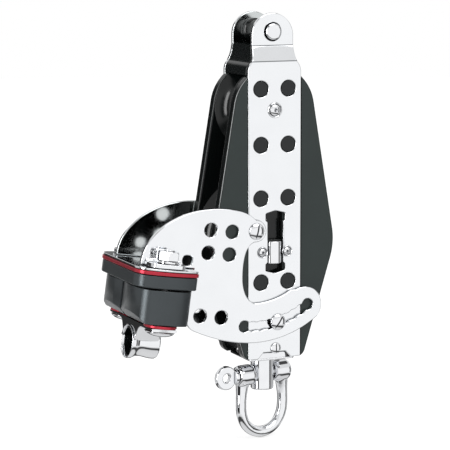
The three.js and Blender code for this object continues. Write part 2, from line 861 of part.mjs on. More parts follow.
frame.add(mesh("upper_sheave", upperSheave(), blackGloss));
frame.add(mesh("upper_ball_cage", ballCage(8.9, 1.7, 6, UPPER_Z), bearing));
frame.add(mesh("lower_hub", lowerHub(), bronze));
frame.add(mesh("lower_inner_race", ring(11.5, 13, -7.4, 7.4, 24), bronze));
frame.add(mesh("lower_sheave", lowerSheave(), blackGloss));
frame.add(mesh("lower_ball_cage", ballCage(15.1, 1.9, 8, 0), bearing));
frame.add(mesh("ratchet_switch", ratchetSwitch(), chrome));
frame.add(mesh("right_pawl", pawl(), bronze));
frame.add(mesh("left_pawl", pawl().mirror([1, 0, 0]), bronze));
frame.add(mesh("right_pawl_pin", pawlPin(), bronze));
frame.add(mesh("left_pawl_pin", pawlPin().mirror([1, 0, 0]), bronze));
frame.add(mesh("swivel_block", swivelBlock(), chrome));
frame.add(mesh("swivel_nut", swivelNut(), bronze));
const setAt = [SET_SCREW.x, 0, SET_SCREW.z];
const setScrew = slottedScrew(-1, 3.2, 1.3, 1.7, 8, STRAP_OUT + RUN, setAt, 0);
frame.add(mesh("set_screw", setScrew, chrome));

const shackle = new THREE.Group();
shackle.rotation.z = SHACKLE_YAW * RAD;
frame.add(shackle);
shackle.add(mesh("swivel_post", swivelPost(), chrome));
shackle.add(mesh("shackle_bow", shackleBow(), chrome));
shackle.add(mesh("shackle_pin", shacklePin(), chrome));

const arm = new THREE.Group();
arm.position.set(PIVOT.x, 0, PIVOT.z);
arm.rotation.y = ARM_TILT * RAD;
frame.add(arm);
for (const [name, side] of Object.entries(SIDES)) {
  arm.add(mesh(name + "_arm_plate", armPlate(side), polished));
  arm.add(mesh(name + "_cam_bolt", camBolt(side), chrome));
  arm.add(mesh(name + "_bolt_nut", boltNut(side), chrome));
  arm.add(mesh(name + "_bolt_washer", boltRing(side, 3.1, 6.3, -21.5, -20.3, 14), chrome));
  arm.add(mesh(name + "_red_washer", boltRing(side, 3.1, 9.4, -58.2, -56.6, 18), redAnodised));
  arm.add(mesh(name + "_cam_bush", boltRing(side, 3.05, 3.9, -56, -36.8, 12), bearing));
  arm.add(mesh(name + "_cam", side < 0 ? camBody() : mirrored(camBody()), anodised));
}
arm.add(mesh("cleat_platform", cleatLayer(0.3, -25.7, FOOT_LOW - GAP), polished));
arm.add(mesh("cleat_gasket", cleatLayer(0, -28, -25.7 - GAP), redAnodised));
arm.add(mesh("cleat_base", cleatLayer(0.4, -35.6, -28 - GAP), anodised));
arm.add(mesh("fairlead", fairlead(), chrome));

export default assembly;
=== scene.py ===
"""A fiddle ratchet block, dressed for a studio picture.

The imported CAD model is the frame. Each visible CAD node is replaced by a finer piece with rounded edges and a
procedural material; the sealed inner pieces keep their CAD shapes.

Lengths are millimetres in the layout frame of the block: X across, Y through the cheeks, Z up from the lower
sheave's axle. The matrices below turn them into the row frame, whose origin is the becket pin, in metres.
"""

from math import acos, asin, atan2, cos, exp, hypot, pi, radians, sin, sqrt

import bmesh
import bpy
from mathutils import Matrix, Vector


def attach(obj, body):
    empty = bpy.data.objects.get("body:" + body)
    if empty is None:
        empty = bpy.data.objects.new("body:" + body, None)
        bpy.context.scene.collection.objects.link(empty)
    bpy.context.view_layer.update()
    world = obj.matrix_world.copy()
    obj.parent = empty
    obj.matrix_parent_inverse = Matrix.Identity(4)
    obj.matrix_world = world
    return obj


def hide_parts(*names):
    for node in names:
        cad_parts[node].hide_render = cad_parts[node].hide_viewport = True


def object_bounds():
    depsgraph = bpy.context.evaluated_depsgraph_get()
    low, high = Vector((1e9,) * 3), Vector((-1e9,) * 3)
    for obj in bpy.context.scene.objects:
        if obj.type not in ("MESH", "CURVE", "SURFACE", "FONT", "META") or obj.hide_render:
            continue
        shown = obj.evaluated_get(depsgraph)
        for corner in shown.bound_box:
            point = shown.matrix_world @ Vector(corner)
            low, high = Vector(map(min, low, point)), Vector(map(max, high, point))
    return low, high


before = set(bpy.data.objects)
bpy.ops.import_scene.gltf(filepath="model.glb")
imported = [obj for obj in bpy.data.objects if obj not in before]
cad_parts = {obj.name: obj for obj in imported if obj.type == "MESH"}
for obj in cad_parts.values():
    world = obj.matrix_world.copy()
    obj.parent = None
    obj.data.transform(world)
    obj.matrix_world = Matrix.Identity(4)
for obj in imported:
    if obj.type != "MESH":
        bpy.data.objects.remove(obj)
CAD_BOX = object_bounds()

# Driving dimensions, as in the CAD part
LOWER_R = 37.5
UPPER_R = 25.5
UPPER_Z = 76.7
BECKET_Z = 121.5
FLANGE_Y = 11
CHEEK_IN = 11.4
CHEEK_OUT = 17.9
STRAP_IN = 15.5
STRAP_OUT = 18
ARM_IN = 18.1
ARM_OUT = 20.6
STRAP_HALF = 16.75
STRAP_FOOT = -68.8
HOLE_ROWS = [89, 56.7, 25.7, -23.4]
HOLE_X = 8.6
HOLE_R = 4.7
HUB_SCREW = (7.8, -5.7)
PIVOT = (-12.7, 7.3)
PIVOT_HOLE = 3.1
LOCK = (0.9, -46.7)
LOCK_HOLE = 2.3
SLOT_R = 55.7
SET_SCREW = (0.6, -62.8)
SWITCH_X = 0.6
ARM_TILT = 8.1
CLEAT_U = -55
CAM_Y = 27
BEND_LOW = 104.7
BEND_HIGH = 113.6
POST_Z = -80.9
SHACKLE_YAW = 12
TEETH = 24
SIDES = {"near": -1, "far": 1}
# Parts that sit on a plate stand this far off it
SEAT = 0.1
# Points closer than this are one point
WELD = 1e-4
# Edges sharper than this, in degrees, stay sharp
SMOOTH_ANGLE = 52

TO_ROW = Matrix.Scale(0.001, 4) @ Matrix.Translation((0, 0, -BECKET_Z))
TO_ARM = TO_ROW @ Matrix.Translation((PIVOT[0], 0, PIVOT[1])) @ Matrix.Rotation(radians(ARM_TILT), 4, "Y")
TO_SHACKLE = TO_ROW @ Matrix.Rotation(radians(SHACKLE_YAW), 4, "Z")


# ---- outlines

def arc(cx, cy, r, start, end, steps):
    """Points on an arc from start to end, in degrees."""
    out = []
    for i in range(steps + 1):
        a = radians(start + (end - start) * i / steps)
        out.append((cx + r * cos(a), cy + r * sin(a)))
    return out


def bezier(*points, steps=16):
    """Points on a quadratic or cubic curve."""
    out = []
    for i in range(steps + 1):
        level = [Vector(p) for p in points]
        t = i / steps
        while len(level) > 1:
            level = [a.lerp(b, t) for a, b in zip(level, level[1:])]
        out.append(tuple(level[0]))
    return out


def rounded(corners, steps=6):
    """A closed outline; an entry (x, y, radius) rounds that corner with a curve."""
    out = []
    count = len(corners)
    for i, corner in enumerate(corners):
        here = Vector(corner[:2])
        radius = corner[2] if len(corner) > 2 else 0
        if not radius:
            out.append(tuple(here))
            continue
        back = (Vector(corners[i - 1][:2]) - here).normalized()
        on = (Vector(corners[(i + 1) % count][:2]) - here).normalized()
        reach = radius / max(1e-6, abs(sin(back.angle(on) / 2) / cos(back.angle(on) / 2)))
        out += bezier(here + back * reach, here, here + on * reach, steps=steps)
    return out


def rectangle(low, high, radius):
    """The outline of a rectangle between two corners, with its corners rounded."""
    corners = [low, (high[0], low[1]), high, (low[0], high[1])]
    return rounded([(x, y, radius) for x, y in corners])


def circle(cx, cy, r, steps=48):
    """A closed loop of points round a centre."""
    return arc(cx, cy, r, 0, 360 * (steps - 1) / steps, steps - 1)


def tidy_loop(points):
    """The loop without repeated points."""
    gap = 1e-3
    out = []
    for p in points:
        if not out or hypot(p[0] - out[-1][0], p[1] - out[-1][1]) > gap:
            out.append((float(p[0]), float(p[1])))
    if hypot(out[0][0] - out[-1][0], out[0][1] - out[-1][1]) <= gap:
        out.pop()
    return out


def turned_way(points, counterclockwise):
    """The loop, running the way that is asked for."""
    area = sum(a[0] * b[1] - b[0] * a[1] for a, b in zip(points, points[1:] + points[:1]))
    return points if (area > 0) == counterclockwise else points[::-1]


def inset(points, by):
    """The loop moved towards its left side."""
    sharpest = 0.35
    out = []
    count = len(points)
    for i, p in enumerate(points):
        before, after = Vector(points[i - 1]), Vector(points[(i + 1) % count])
        here = Vector(p)
        one, two = (here - before).normalized(), (after - here).normalized()
        n1, n2 = Vector((-one.y, one.x)), Vector((-two.y, two.x))
        scale = max(sharpest, 1 + n1.dot(n2))
        out.append(tuple(here + (n1 + n2) * by / scale))
    return out


# ---- solids

def finished(bm, name):
    """The mesh of an edit mesh, which goes."""
    mesh = bpy.data.meshes.new(name)
    bm.to_mesh(mesh)
    bm.free()
    return mesh


def mesh_from(bm, name):
    """The mesh of an edit mesh, with its points welded and its faces looking outwards."""
    bmesh.ops.remove_doubles(bm, verts=bm.verts, dist=WELD)
    bmesh.ops.recalc_face_normals(bm, faces=bm.faces)
    return finished(bm, name)


def skin(bm, rings):
    """Faces between each ring of points and the next."""
    for one, two in zip(rings, rings[1:]):
        for corners in zip(one, one[1:] + one[:1], two[1:] + two[:1], two):
            bm.faces.new(corners)


# Where a flat point and a depth go, for each plane that a plate can lie in
PLANES = {
    "xz": lambda p, d: (p[0], d, p[1]),
    "xy": lambda p, d: (p[0], p[1], d),
    "yz": lambda p, d: (d, p[0], p[1]),
}


def plate(outer, holes, low, high, edge, steps=3, plane="xz"):
    """A flat plate between two depths with rounded edges round its outline and its holes."""
    bm = bmesh.new()
    put = PLANES[plane]
    loops = [turned_way(tidy_loop(outer), True)]
    loops += [turned_way(tidy_loop(h), False) for h in holes]
    rings = []
    for i in range(steps + 1):
        a = pi / 2 * i / steps
        rings.append((low + edge * (1 - sin(a)), edge * (1 - cos(a))))
    rings = rings[::-1]
    rings += [(low + high - depth, by) for depth, by in reversed(rings)]
    rings[0], rings[-1] = (low, edge), (high, edge)
    first, last = [], []
    for loop in loops:
        made = []
        for depth, by in rings:
            flat = inset(loop, by) if by > 1e-9 else loop
            made.append([bm.verts.new(put(p, depth)) for p in flat])
        skin(bm, made)
        first.append(made[0])
        last.append(made[-1])
    for side in (first, last):
        edges = []
        for ring in side:
            for k, v in enumerate(ring):
                edges.append(bm.edges.get((v, ring[(k + 1) % len(ring)])))
        bmesh.ops.triangle_fill(bm, use_beauty=True, use_dissolve=False, edges=edges)
    return mesh_from(bm, "plate")


def soften(profile, radius):
    """A lathe profile with its corners rounded, where there is room."""
    out = [profile[0]]
    for before, here, after in zip(profile, profile[1:], profile[2:]):
        p = Vector(here)
        back, on = Vector(before) - p, Vector(after) - p
        reach = min(radius, back.length * 0.45, on.length * 0.45)
        if back.angle(on, pi) > radians(165) or reach < 1e-3:
            out.append(here)
            continue
        out += bezier(p + back.normalized() * reach, p, p + on.normalized() * reach, steps=3)
    return out + [profile[-1]]


def lathe(profile, axis="y", at=(0, 0, 0), segments=72, edge=0.25):
    """A profile of (radius, height) turned about an axis.

    It starts and ends on the axis, or it closes on itself.
    """
    closed = profile[0][0] > 1e-6
    points = soften(profile + [profile[0]] if closed else profile, edge)
    bm = bmesh.new()
    rings = []
    for r, h in points:
        ring = []
        for k in range(segments):
            a = 2 * pi * k / segments
            x, y = r * cos(a), r * sin(a)
            spot = {"y": (x, h, y), "z": (x, y, h), "x": (h, x, y)}[axis]
            ring.append(bm.verts.new(Vector(spot) + Vector(at)))
        rings.append(ring)
    skin(bm, rings)
    bmesh.ops.remove_doubles(bm, verts=bm.verts, dist=WELD)
    bmesh.ops.dissolve_degenerate(bm, dist=1e-5, edges=bm.edges)
    return mesh_from(bm, "lathe")


def rod(radius, low, high, axis="y", at=(0, 0, 0), segments=48, edge=0.2):
    """A solid bar with rounded ends."""
    return lathe([(0, low), (radius, low), (radius, high), (0, high)], axis, at, segments, edge)


def tube(inner, outer, low, high, axis, at, edge):
    """A ring or a hollow bar."""
    profile = [(inner, (low + high) / 2), (inner, low), (outer, low), (outer, high), (inner, high)]
    return lathe(profile, axis, at, 64, edge)


def box(low, high, edge):
    """A block with rounded edges."""
    bm = bmesh.new()
    bmesh.ops.create_cube(bm, size=1)
    size = Vector(high) - Vector(low)
    for v in bm.verts:
        v.co = Vector(low) + Vector([(c + 0.5) * s for c, s in zip(v.co, size)])
    if edge:
        rounding = {"segments": 2, "profile": 0.5, "affect": "EDGES", "clamp_overlap": True}
        bmesh.ops.bevel(bm, geom=bm.edges[:], offset=edge, **rounding)
    return mesh_from(bm, "box")


def sweep(path, radii):
    """A round bar along points, with a radius at each."""
    segments = 24
    bm = bmesh.new()
    points = [Vector(p) for p in path]
    rings = []
    for i, p in enumerate(points):
        ahead = (points[min(i + 1, len(points) - 1)] - points[max(i - 1, 0)]).normalized()
        side = Vector((0, 1, 0))
        up = ahead.cross(side).normalized()
        ring = []
        for k in range(segments):
            a = 2 * pi * k / segments
            ring.append(bm.verts.new(p + (side * cos(a) + up * sin(a)) * radii[i]))
        rings.append(ring)
    skin(bm, rings)
    bm.faces.new(rings[0])
    bm.faces.new(rings[-1])
    return mesh_from(bm, "sweep")


def merged(*meshes):
    """Several meshes as one."""
    bm = bmesh.new()
    for m in meshes:
        bm.from_mesh(m)
    return finished(bm, "merged")


def mirrored(mesh):
    """The same mesh on the other side of the middle plane."""
    mesh.transform(Matrix.Diagonal((1, -1, 1, 1)))
    mesh.flip_normals()
    return mesh


def evaluated(obj):
    """The mesh of an object with its modifiers applied; the object goes."""
    bpy.context.view_layer.update()
    graph = bpy.context.evaluated_depsgraph_get()
    mesh = bpy.data.meshes.new_from_object(obj.evaluated_get(graph))
    bpy.data.objects.remove(obj)
    return mesh


def temporary(mesh):
    """An object in the scene for a mesh, until evaluated() or boolean() takes it away."""
    obj = bpy.data.objects.new("temporary", mesh)
    bpy.context.scene.collection.objects.link(obj)
    return obj


def boolean(mesh, tools, operation="DIFFERENCE"):
    """The mesh with other meshes cut from it, or only what it shares with them."""
    target = temporary(mesh)
    helpers = [temporary(t) for t in tools]
    for helper in helpers:
        modifier = target.modifiers.new("cut", "BOOLEAN")
        modifier.object = helper
        modifier.operation = operation
        modifier.solver = "EXACT"
    result = evaluated(target)
    for helper in helpers:
        bpy.data.objects.remove(helper)
    return result


def forged(mesh, voxel, smooth):
    """Overlapping solids run into one smooth casting."""
    obj = temporary(mesh)
    remesh = obj.modifiers.new("remesh", "REMESH")
    remesh.mode = "VOXEL"
    remesh.voxel_size = voxel
    relax = obj.modifiers.new("smooth", "SMOOTH")
    relax.iterations = smooth
    relax.factor = 0.5
    return evaluated(obj)


def bend_at(mesh, heights, shift):
    """Cuts the mesh across at some heights, then moves each point to shift(point)."""
    bm = bmesh.new()
    bm.from_mesh(mesh)
    normal = Vector((0, 0, 1))
    for height in heights:
        geom = bm.verts[:] + bm.edges[:] + bm.faces[:]
        bmesh.ops.bisect_plane(bm, geom=geom, dist=WELD, plane_co=normal * height, plane_no=normal)
    for v in bm.verts:
        v.co = shift(v.co)
    return finished(bm, "bent")


# ---- materials

class Tree:
    """A small helper for node trees."""

    def __init__(self, tree):
        self.tree = tree

    def add(self, kind, **inputs):
        """A new node with its inputs set or linked; an underscore in a name stands for a space."""
        node = self.tree.nodes.new(kind)
        for key, value in inputs.items():
            self.feed(node.inputs[key.replace("_", " ")], value)
        return node

    def feed(self, socket, value):
        """Links an output to the socket, or sets its value."""
        if isinstance(value, bpy.types.NodeSocket):
            self.tree.links.new(value, socket)
        else:
            socket.default_value = value

    def math(self, kind, one, two=0.0):
        """The result of a calculation with one or two values."""
        node = self.tree.nodes.new("ShaderNodeMath")
        node.operation = kind
        self.feed(node.inputs[0], one)
        self.feed(node.inputs[1], two)
        return node.outputs[0]

    def mix(self, share, one, two):
        """The colour one where share is 0, and two where it is 1."""
        node = self.tree.nodes.new("ShaderNodeMix")
        node.data_type = "RGBA"
        self.feed(node.inputs["Factor"], share)
        self.feed(node.inputs["A"], one)
        self.feed(node.inputs["B"], two)
        return node.outputs["Result"]

    def between(self, value, low, high, from_low=0.3, from_high=0.7):
        """A value carried from one range to another."""
        ends = {"From_Min": from_low, "From_Max": from_high, "To_Min": low, "To_Max": high}
        return self.add("ShaderNodeMapRange", Value=value, **ends).outputs["Result"]

    def ramp(self, value, stops):
        """Grey levels between stops of (position, level)."""
        node = self.add("ShaderNodeValToRGB", Fac=value)
        elements = node.color_ramp.elements
        elements.remove(elements[1])
        elements[0].position = stops[0][0]
        elements[0].color = rgb(*[stops[0][1]] * 3)
        for position, level in stops[1:]:
            elements.new(position).color = rgb(*[level] * 3)
        return node.outputs["Color"]

    def parts(self, vector):
        """The X, Y and Z of a vector."""
        return self.add("ShaderNodeSeparateXYZ", Vector=vector).outputs


class Nodes(Tree):
    """The node tree of a new material."""

    def __init__(self, name):
        self.material = bpy.data.materials.new(name)
        self.material.use_nodes = True
        super().__init__(self.material.node_tree)
        self.shader = self.tree.nodes["Principled BSDF"]
        self.place = self.add("ShaderNodeTexCoord").outputs["Object"]

    def stretched(self, x, y, z):
        """Coordinates in metres, scaled along each axis."""
        return self.add("ShaderNodeMapping", Vector=self.place, Scale=(x, y, z)).outputs["Vector"]

    def noise(self, scale, detail=3.0, vector=None):
        """Cloudy noise, mostly between 0.3 and 0.7."""
        where = vector or self.place
        return self.add("ShaderNodeTexNoise", Scale=scale, Detail=detail, Vector=where).outputs["Fac"]

    def open_air(self, reach, low, high):
        """0 in a crevice narrower than reach, in metres, and 1 on an open face; the mask for painted crevice
        shade.
        """
        node = self.add("ShaderNodeAmbientOcclusion", Distance=reach)
        node.samples = 12
        return self.between(node.outputs["AO"], 0.0, 1.0, low, high)

    def bump(self, height, strength, distance):
        """Roughens the surface by a height map."""
        node = self.add("ShaderNodeBump", Height=height, Strength=strength, Distance=distance)
        self.feed(self.shader.inputs["Normal"], node.outputs["Normal"])

    def set(self, **inputs):
        """Sets the shader's inputs and gives the finished material."""
        for key, value in inputs.items():
            self.feed(self.shader.inputs[key.replace("_", " ")], value)
        return self.material


def rgb(r, g, b):
    """A colour without transparency."""
    return (r, g, b, 1.0)


# Painted shade in crevices, found by ambient occlusion: (width of a crevice in metres, openness where the shade
# is full, openness where it ends)
SHADE_IN_CREVICES = (0.0012, 0.35, 0.85)
SHADE_IN_LEAD = (0.008, 0.3, 0.6)


def outward(n):
    """How far a face looks away from the middle plane of the block, from -1 to 1."""
    geometry = n.add("ShaderNodeNewGeometry")
    normal = n.parts(geometry.outputs["Normal"])["Y"]
    return n.math("MULTIPLY", normal, n.math("SIGN", n.parts(n.place)["Y"]))


def bend_shade_lines(n, colour):
    """A thin line of painted shade along each of the strap's two bends."""
    for bend in (BEND_LOW, BEND_HIGH):
        off = n.math("SUBTRACT", n.parts(n.place)["Z"], (bend - BECKET_Z) / 1000)
        line = n.between(n.math("ABSOLUTE", off), 1.0, 0.0, 0.00016, 0.00042)
        colour = n.mix(line, colour, rgb(0.20, 0.21, 0.22))
    return colour


def painted_inner_shade(n, colour):
    """Faces that look at the middle plane are painted darker, as shade: near black on the near side, grey on
    the far side.
    """
    far_side = n.math("GREATER_THAN", n.parts(n.place)["Y"], 0.0)
    dark = n.mix(far_side, rgb(0.012, 0.014, 0.014), rgb(0.62, 0.65, 0.65))
    return n.mix(n.between(outward(n), 1.0, 0.0, -0.75, -0.45), colour, dark)


def steel(name, base, rough, painted_sides=False):
    """Polished plate: fine lengthwise polishing lines, faint clouding and painted shade in its crevices."""
    n = Nodes(name)
    lines = n.noise(1.0, 2.0, n.stretched(9000, 9000, 260))
    cloud = n.noise(70.0, 4.0)
    colour = n.mix(cloud, rgb(*[c * 0.95 for c in base]), rgb(*[c * 1.02 for c in base]))
    # painted shade: crevices darkened towards near black
    colour = n.mix(n.open_air(*SHADE_IN_CREVICES), rgb(0.06, 0.065, 0.07), colour)
    # painted shade on the straps and arm plates: a dark line at each bend and darker inner faces
    if painted_sides:
        colour = painted_inner_shade(n, bend_shade_lines(n, colour))
    n.bump(lines, 0.05, 0.00002)
    roughness = n.math("ADD", n.between(cloud, 0.0, rough * 0.5), n.between(lines, rough * 0.8, rough * 1.2))
    return n.set(Base_Color=colour, Metallic=1.0, Roughness=roughness)


def bright_chrome(name, crevice):
    """Tumbled and polished castings and screws, with painted shade in their crevices."""
    n = Nodes(name)
    cloud = n.noise(160.0, 5.0)
    pits = n.noise(2600.0, 2.0)
    colour = n.mix(cloud, rgb(0.82, 0.83, 0.85), rgb(0.92, 0.93, 0.95))
    # painted shade: crevices darkened towards near black
    colour = n.mix(n.open_air(*crevice), rgb(0.03, 0.032, 0.035), colour)
    n.bump(pits, 0.03, 0.00003)
    return n.set(Base_Color=colour, Metallic=1.0, Roughness=n.between(cloud, 0.04, 0.10))


# Where a cheek's rounded edges get painted highlight lines: (half of 1 + the outward tilt of the face,
# highlight strength)
RIM_HIGHLIGHT = [(0.22, 0.0), (0.27, 0.5), (0.33, 0.0), (0.70, 0.0), (0.76, 0.8), (0.84, 0.8), (0.90, 0.0)]


def shell_plastic(name):
    """Cheek moulding: a satin grained outer face, glossy black edges and inside, and painted highlight lines
    along the rounded edges.
    """
    n = Nodes(name)
    speck = n.noise(2400.0, 3.0)
    slow = n.noise(26.0, 3.0)
    face = n.mix(slow, rgb(0.005, 0.011, 0.010), rgb(0.013, 0.023, 0.022))
    facing = outward(n)
    outer = n.between(facing, 0.0, 1.0, 0.86, 0.95)
    highlight_breakup = n.between(n.noise(300.0, 4.0), 0.7, 1.0)
    rim = n.ramp(n.between(facing, 0.0, 1.0, -1.0, 1.0), RIM_HIGHLIGHT)
    colour = n.mix(outer, rgb(0.003, 0.004, 0.004), face)
    # painted highlight: light lines along the cheek's rounded edges, broken up by noise
    colour = n.mix(n.math("MULTIPLY", rim, highlight_breakup), colour, rgb(0.34, 0.35, 0.35))
    n.bump(speck, 0.10, 0.00005)
    rough = n.math("ADD", n.between(outer, 0.16, 0.36, 0.0, 1.0), n.between(speck, -0.02, 0.04))
    return n.set(Base_Color=colour, Roughness=rough, Specular_IOR_Level=n.between(outer, 0.25, 0.5, 0.0, 1.0))


def moulded(name, base, rough, grain, depth=0.12, gloss=0.5):
    """Moulded plastic: fine grain, slow colour change, a little polish on it."""
    n = Nodes(name)
    speck = n.noise(grain, 3.0)
    slow = n.noise(38.0, 3.0)
    colour = n.mix(slow, rgb(*[c * 0.82 for c in base]), rgb(*[c * 1.18 for c in base]))
    n.bump(speck, depth, 0.00006)
    roughness = n.between(speck, rough * 0.85, rough * 1.15)
    return n.set(Base_Color=colour, Roughness=roughness, Specular_IOR_Level=gloss)


def anodised(name, base, rough):
    """Anodised aluminium: fine matt skin with a metal's sheen."""
    n = Nodes(name)
    speck = n.noise(3200.0, 2.0)
    slow = n.noise(45.0, 3.0)
    colour = n.mix(slow, rgb(*[c * 0.88 for c in base]), rgb(*[c * 1.12 for c in base]))
    n.bump(speck, 0.08, 0.00004)
    return n.set(Base_Color=colour, Metallic=0.8, Roughness=n.between(speck, rough * 0.85, rough * 1.15))


MATERIALS = {
    # the straps and arm plates carry painted shade on their bends and inner faces
    "polished_steel": steel("polished_steel", (0.90, 0.915, 0.935), 0.08, painted_sides=True),
    "platform_steel": steel("platform_steel", (0.80, 0.82, 0.84), 0.10),
    # chrome gets painted shade in its crevices; lead_chrome gets a deeper painted shade inside the fairlead
    "chrome": bright_chrome("chrome", SHADE_IN_CREVICES),
    "lead_chrome": bright_chrome("lead_chrome", SHADE_IN_LEAD),
    "cheek": shell_plastic("cheek_plastic"),
    "cheek_pip": moulded("cheek_pip_plastic", (0.010, 0.012, 0.013), 0.5, 1500.0, 0.6, 0.4),
    "black_gloss": moulded("black_gloss", (0.003, 0.004, 0.004), 0.17, 900.0, 0.06, 0.4),
    "charcoal_anodised": anodised("charcoal_anodised", (0.066, 0.075, 0.080), 0.34),
    "red_anodised": anodised("red_anodised", (0.46, 0.035, 0.055), 0.32),
    "inner_steel": steel("inner_steel", (0.36, 0.37, 0.38), 0.28),
    "bearing": moulded("bearing_plastic", (0.60, 0.58, 0.50), 0.45, 1500.0),
}


# ---- placing

def shade(mesh):
    """Smooth shading that keeps the sharp edges."""
    mesh.polygons.foreach_set("use_smooth", [True] * len(mesh.polygons))
    mesh.set_sharp_from_angle(angle=radians(SMOOTH_ANGLE))
    mesh.update()


def piece(name, mesh, material, body, nodes=(), to=TO_ROW, weighted=True):
    """Puts a finished mesh in the scene, on its body, in place of CAD nodes."""
    mesh.transform(to)
    shade(mesh)
    mesh.name = name
    mesh.materials.clear()
    mesh.materials.append(MATERIALS[material])
    obj = bpy.data.objects.new(name, mesh)
    bpy.context.scene.collection.objects.link(obj)
    if weighted:
        modifier = obj.modifiers.new("normals", "WEIGHTED_NORMAL")
        modifier.keep_sharp = True
        modifier.weight = 60
    if nodes:
        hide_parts(*nodes)
    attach(obj, body)
    return obj


def keep(node, material):
    """A CAD node that stays, with a material and softened edges."""
    bevel = 0.2
    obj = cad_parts[node]
    obj.data.materials.clear()
    obj.data.materials.append(MATERIALS[material])
    modifier = obj.modifiers.new("soften", "BEVEL")
    modifier.width = bevel / 1000
    modifier.segments = 2
    modifier.limit_method = "ANGLE"
    modifier.angle_limit = radians(35)
    modifier.harden_normals = False


# ---- cheeks and straps

def cheek_outline():
    """Two arcs round the sheaves with a straight side between them, and a blunt foot."""
    upper = 25.6
    lower = 38.19
    foot = (20.2, -64.6)
    lean = asin((lower - upper) / UPPER_Z)
    low = atan2(foot[1], foot[0]) + acos(lower / hypot(*foot))
    deg = 180 / pi
    right = [(9, -65.4), (11, STRAP_FOOT)]
    right += bezier((17, STRAP_FOOT), (19.6, -67.4), foot, steps=8)
    right += arc(0, 0, lower, low * deg, lean * deg, 40)
    right += arc(0, UPPER_Z, upper, lean * deg, 90, 30)
    left = [(-x, z) for x, z in reversed(right)]
    return right + left[1:]


def switch_pocket():
    """The hole in the near cheek that the switch slides in."""
    half = 5.45
    reach = 18.6
    return rectangle((SWITCH_X - half, -reach), (SWITCH_X + half, reach), 2)


def cheek(side):
    """A shell half: well-rounded edges, and a channel down its face for the strap."""
    holes = [circle(0, UPPER_Z, 5.2), circle(*PIVOT, PIVOT_HOLE), circle(*LOCK, LOCK_HOLE)]
    if side < 0:
        holes.append(switch_pocket())
    body = plate(cheek_outline(), holes, CHEEK_IN, CHEEK_OUT, edge=1.25, steps=5)
    half = 17.05
    channel = box((-half, STRAP_IN - 0.1, -90), (half, 30, 130), edge=0)
    body = boolean(body, [channel])
    return body if side > 0 else mirrored(body)


# The fine groove that each bend of a strap leaves, and the round lug above the bends
GROOVE_HALF = 0.45
GROOVE_DEPTH = 0.2
LUG_STEP = 3
LUG_HALF = 13
LUG_Z = 119.2


def strap_outline():
    """A long plate that narrows above the sheaves to a round lug."""
    right = [(7, -65), (10.4, STRAP_FOOT)]
    right += rounded([(10.4, STRAP_FOOT), (STRAP_HALF, STRAP_FOOT, 1.2), (STRAP_HALF, 90)])[1:]
    right += bezier((STRAP_HALF, 98.5), (STRAP_HALF, 101.5), (14.6, 104), steps=10)
    right += bezier((14.6, 104), (LUG_HALF, 107.5), (LUG_HALF, 112), steps=10)
    right += arc(0, LUG_Z, LUG_HALF, 0, 90, 32)
    left = [(-x, z) for x, z in reversed(right)]
    return right + left[1:]


def switch_slot():
    """The long slot that shows the switch, wider and arched at both ends."""
    narrow = 4.9
    wide = 6.1
    corners = [
        (wide, -16.8, 0.8), (wide, -13), (narrow, -11.8), (narrow, 11.8), (wide, 13), (wide, 16.8, 0.8),
        (0, 18.4, 4), (-wide, 16.8, 0.8), (-wide, 13), (-narrow, 11.8), (-narrow, -11.8), (-wide, -13),
        (-wide, -16.8, 0.8), (0, -18.4, 4),
    ]
    return [(x + SWITCH_X, z) for x, z in rounded(corners)]


def strap_bend(p):
    """The plate steps inwards between its two bends, and each bend is pressed in as a fine groove."""
    share = min(1, max(0, (p.z - BEND_LOW) / (BEND_HIGH - BEND_LOW)))
    groove = max(0, 1 - min(abs(p.z - BEND_LOW), abs(p.z - BEND_HIGH)) / GROOVE_HALF)
    return Vector((p.x, p.y - LUG_STEP * share - GROOVE_DEPTH * groove, p.z))


def strap(side):
    """A side strap with its holes and its two bends."""
    holes = [circle(s * HOLE_X, z, HOLE_R) for z in HOLE_ROWS for s in (-1, 1)]
    holes += [circle(0, UPPER_Z, 2.6), circle(0, BECKET_Z, 5.3), circle(*PIVOT, PIVOT_HOLE)]
    holes += [circle(s * HUB_SCREW[0], HUB_SCREW[1], 1.5) for s in (-1, 1)]
    holes += [circle(*LOCK, LOCK_HOLE)]
    if side < 0:
        holes += [circle(*SET_SCREW, 1.9), switch_slot()]
    body = plate(strap_outline(), holes, STRAP_IN, STRAP_OUT, edge=0.55, steps=4)
    cuts = [bend + off for bend in (BEND_LOW, BEND_HIGH) for off in (-GROOVE_HALF, 0, GROOVE_HALF)]
    body = bend_at(body, cuts, strap_bend)
    return body if side > 0 else mirrored(body)


def pips(side):
    """The grained bosses of the cheek that fill the strap's eight large holes."""
    spots = [(s * HOLE_X, z) for z in HOLE_ROWS for s in (-1, 1)]
    low = STRAP_IN - 0.2
    high = STRAP_OUT - 0.3
    body = merged(*[rod(4.45, low, high, at=(x, 0, z), edge=0.35) for x, z in spots])
    return body if side > 0 else mirrored(body)


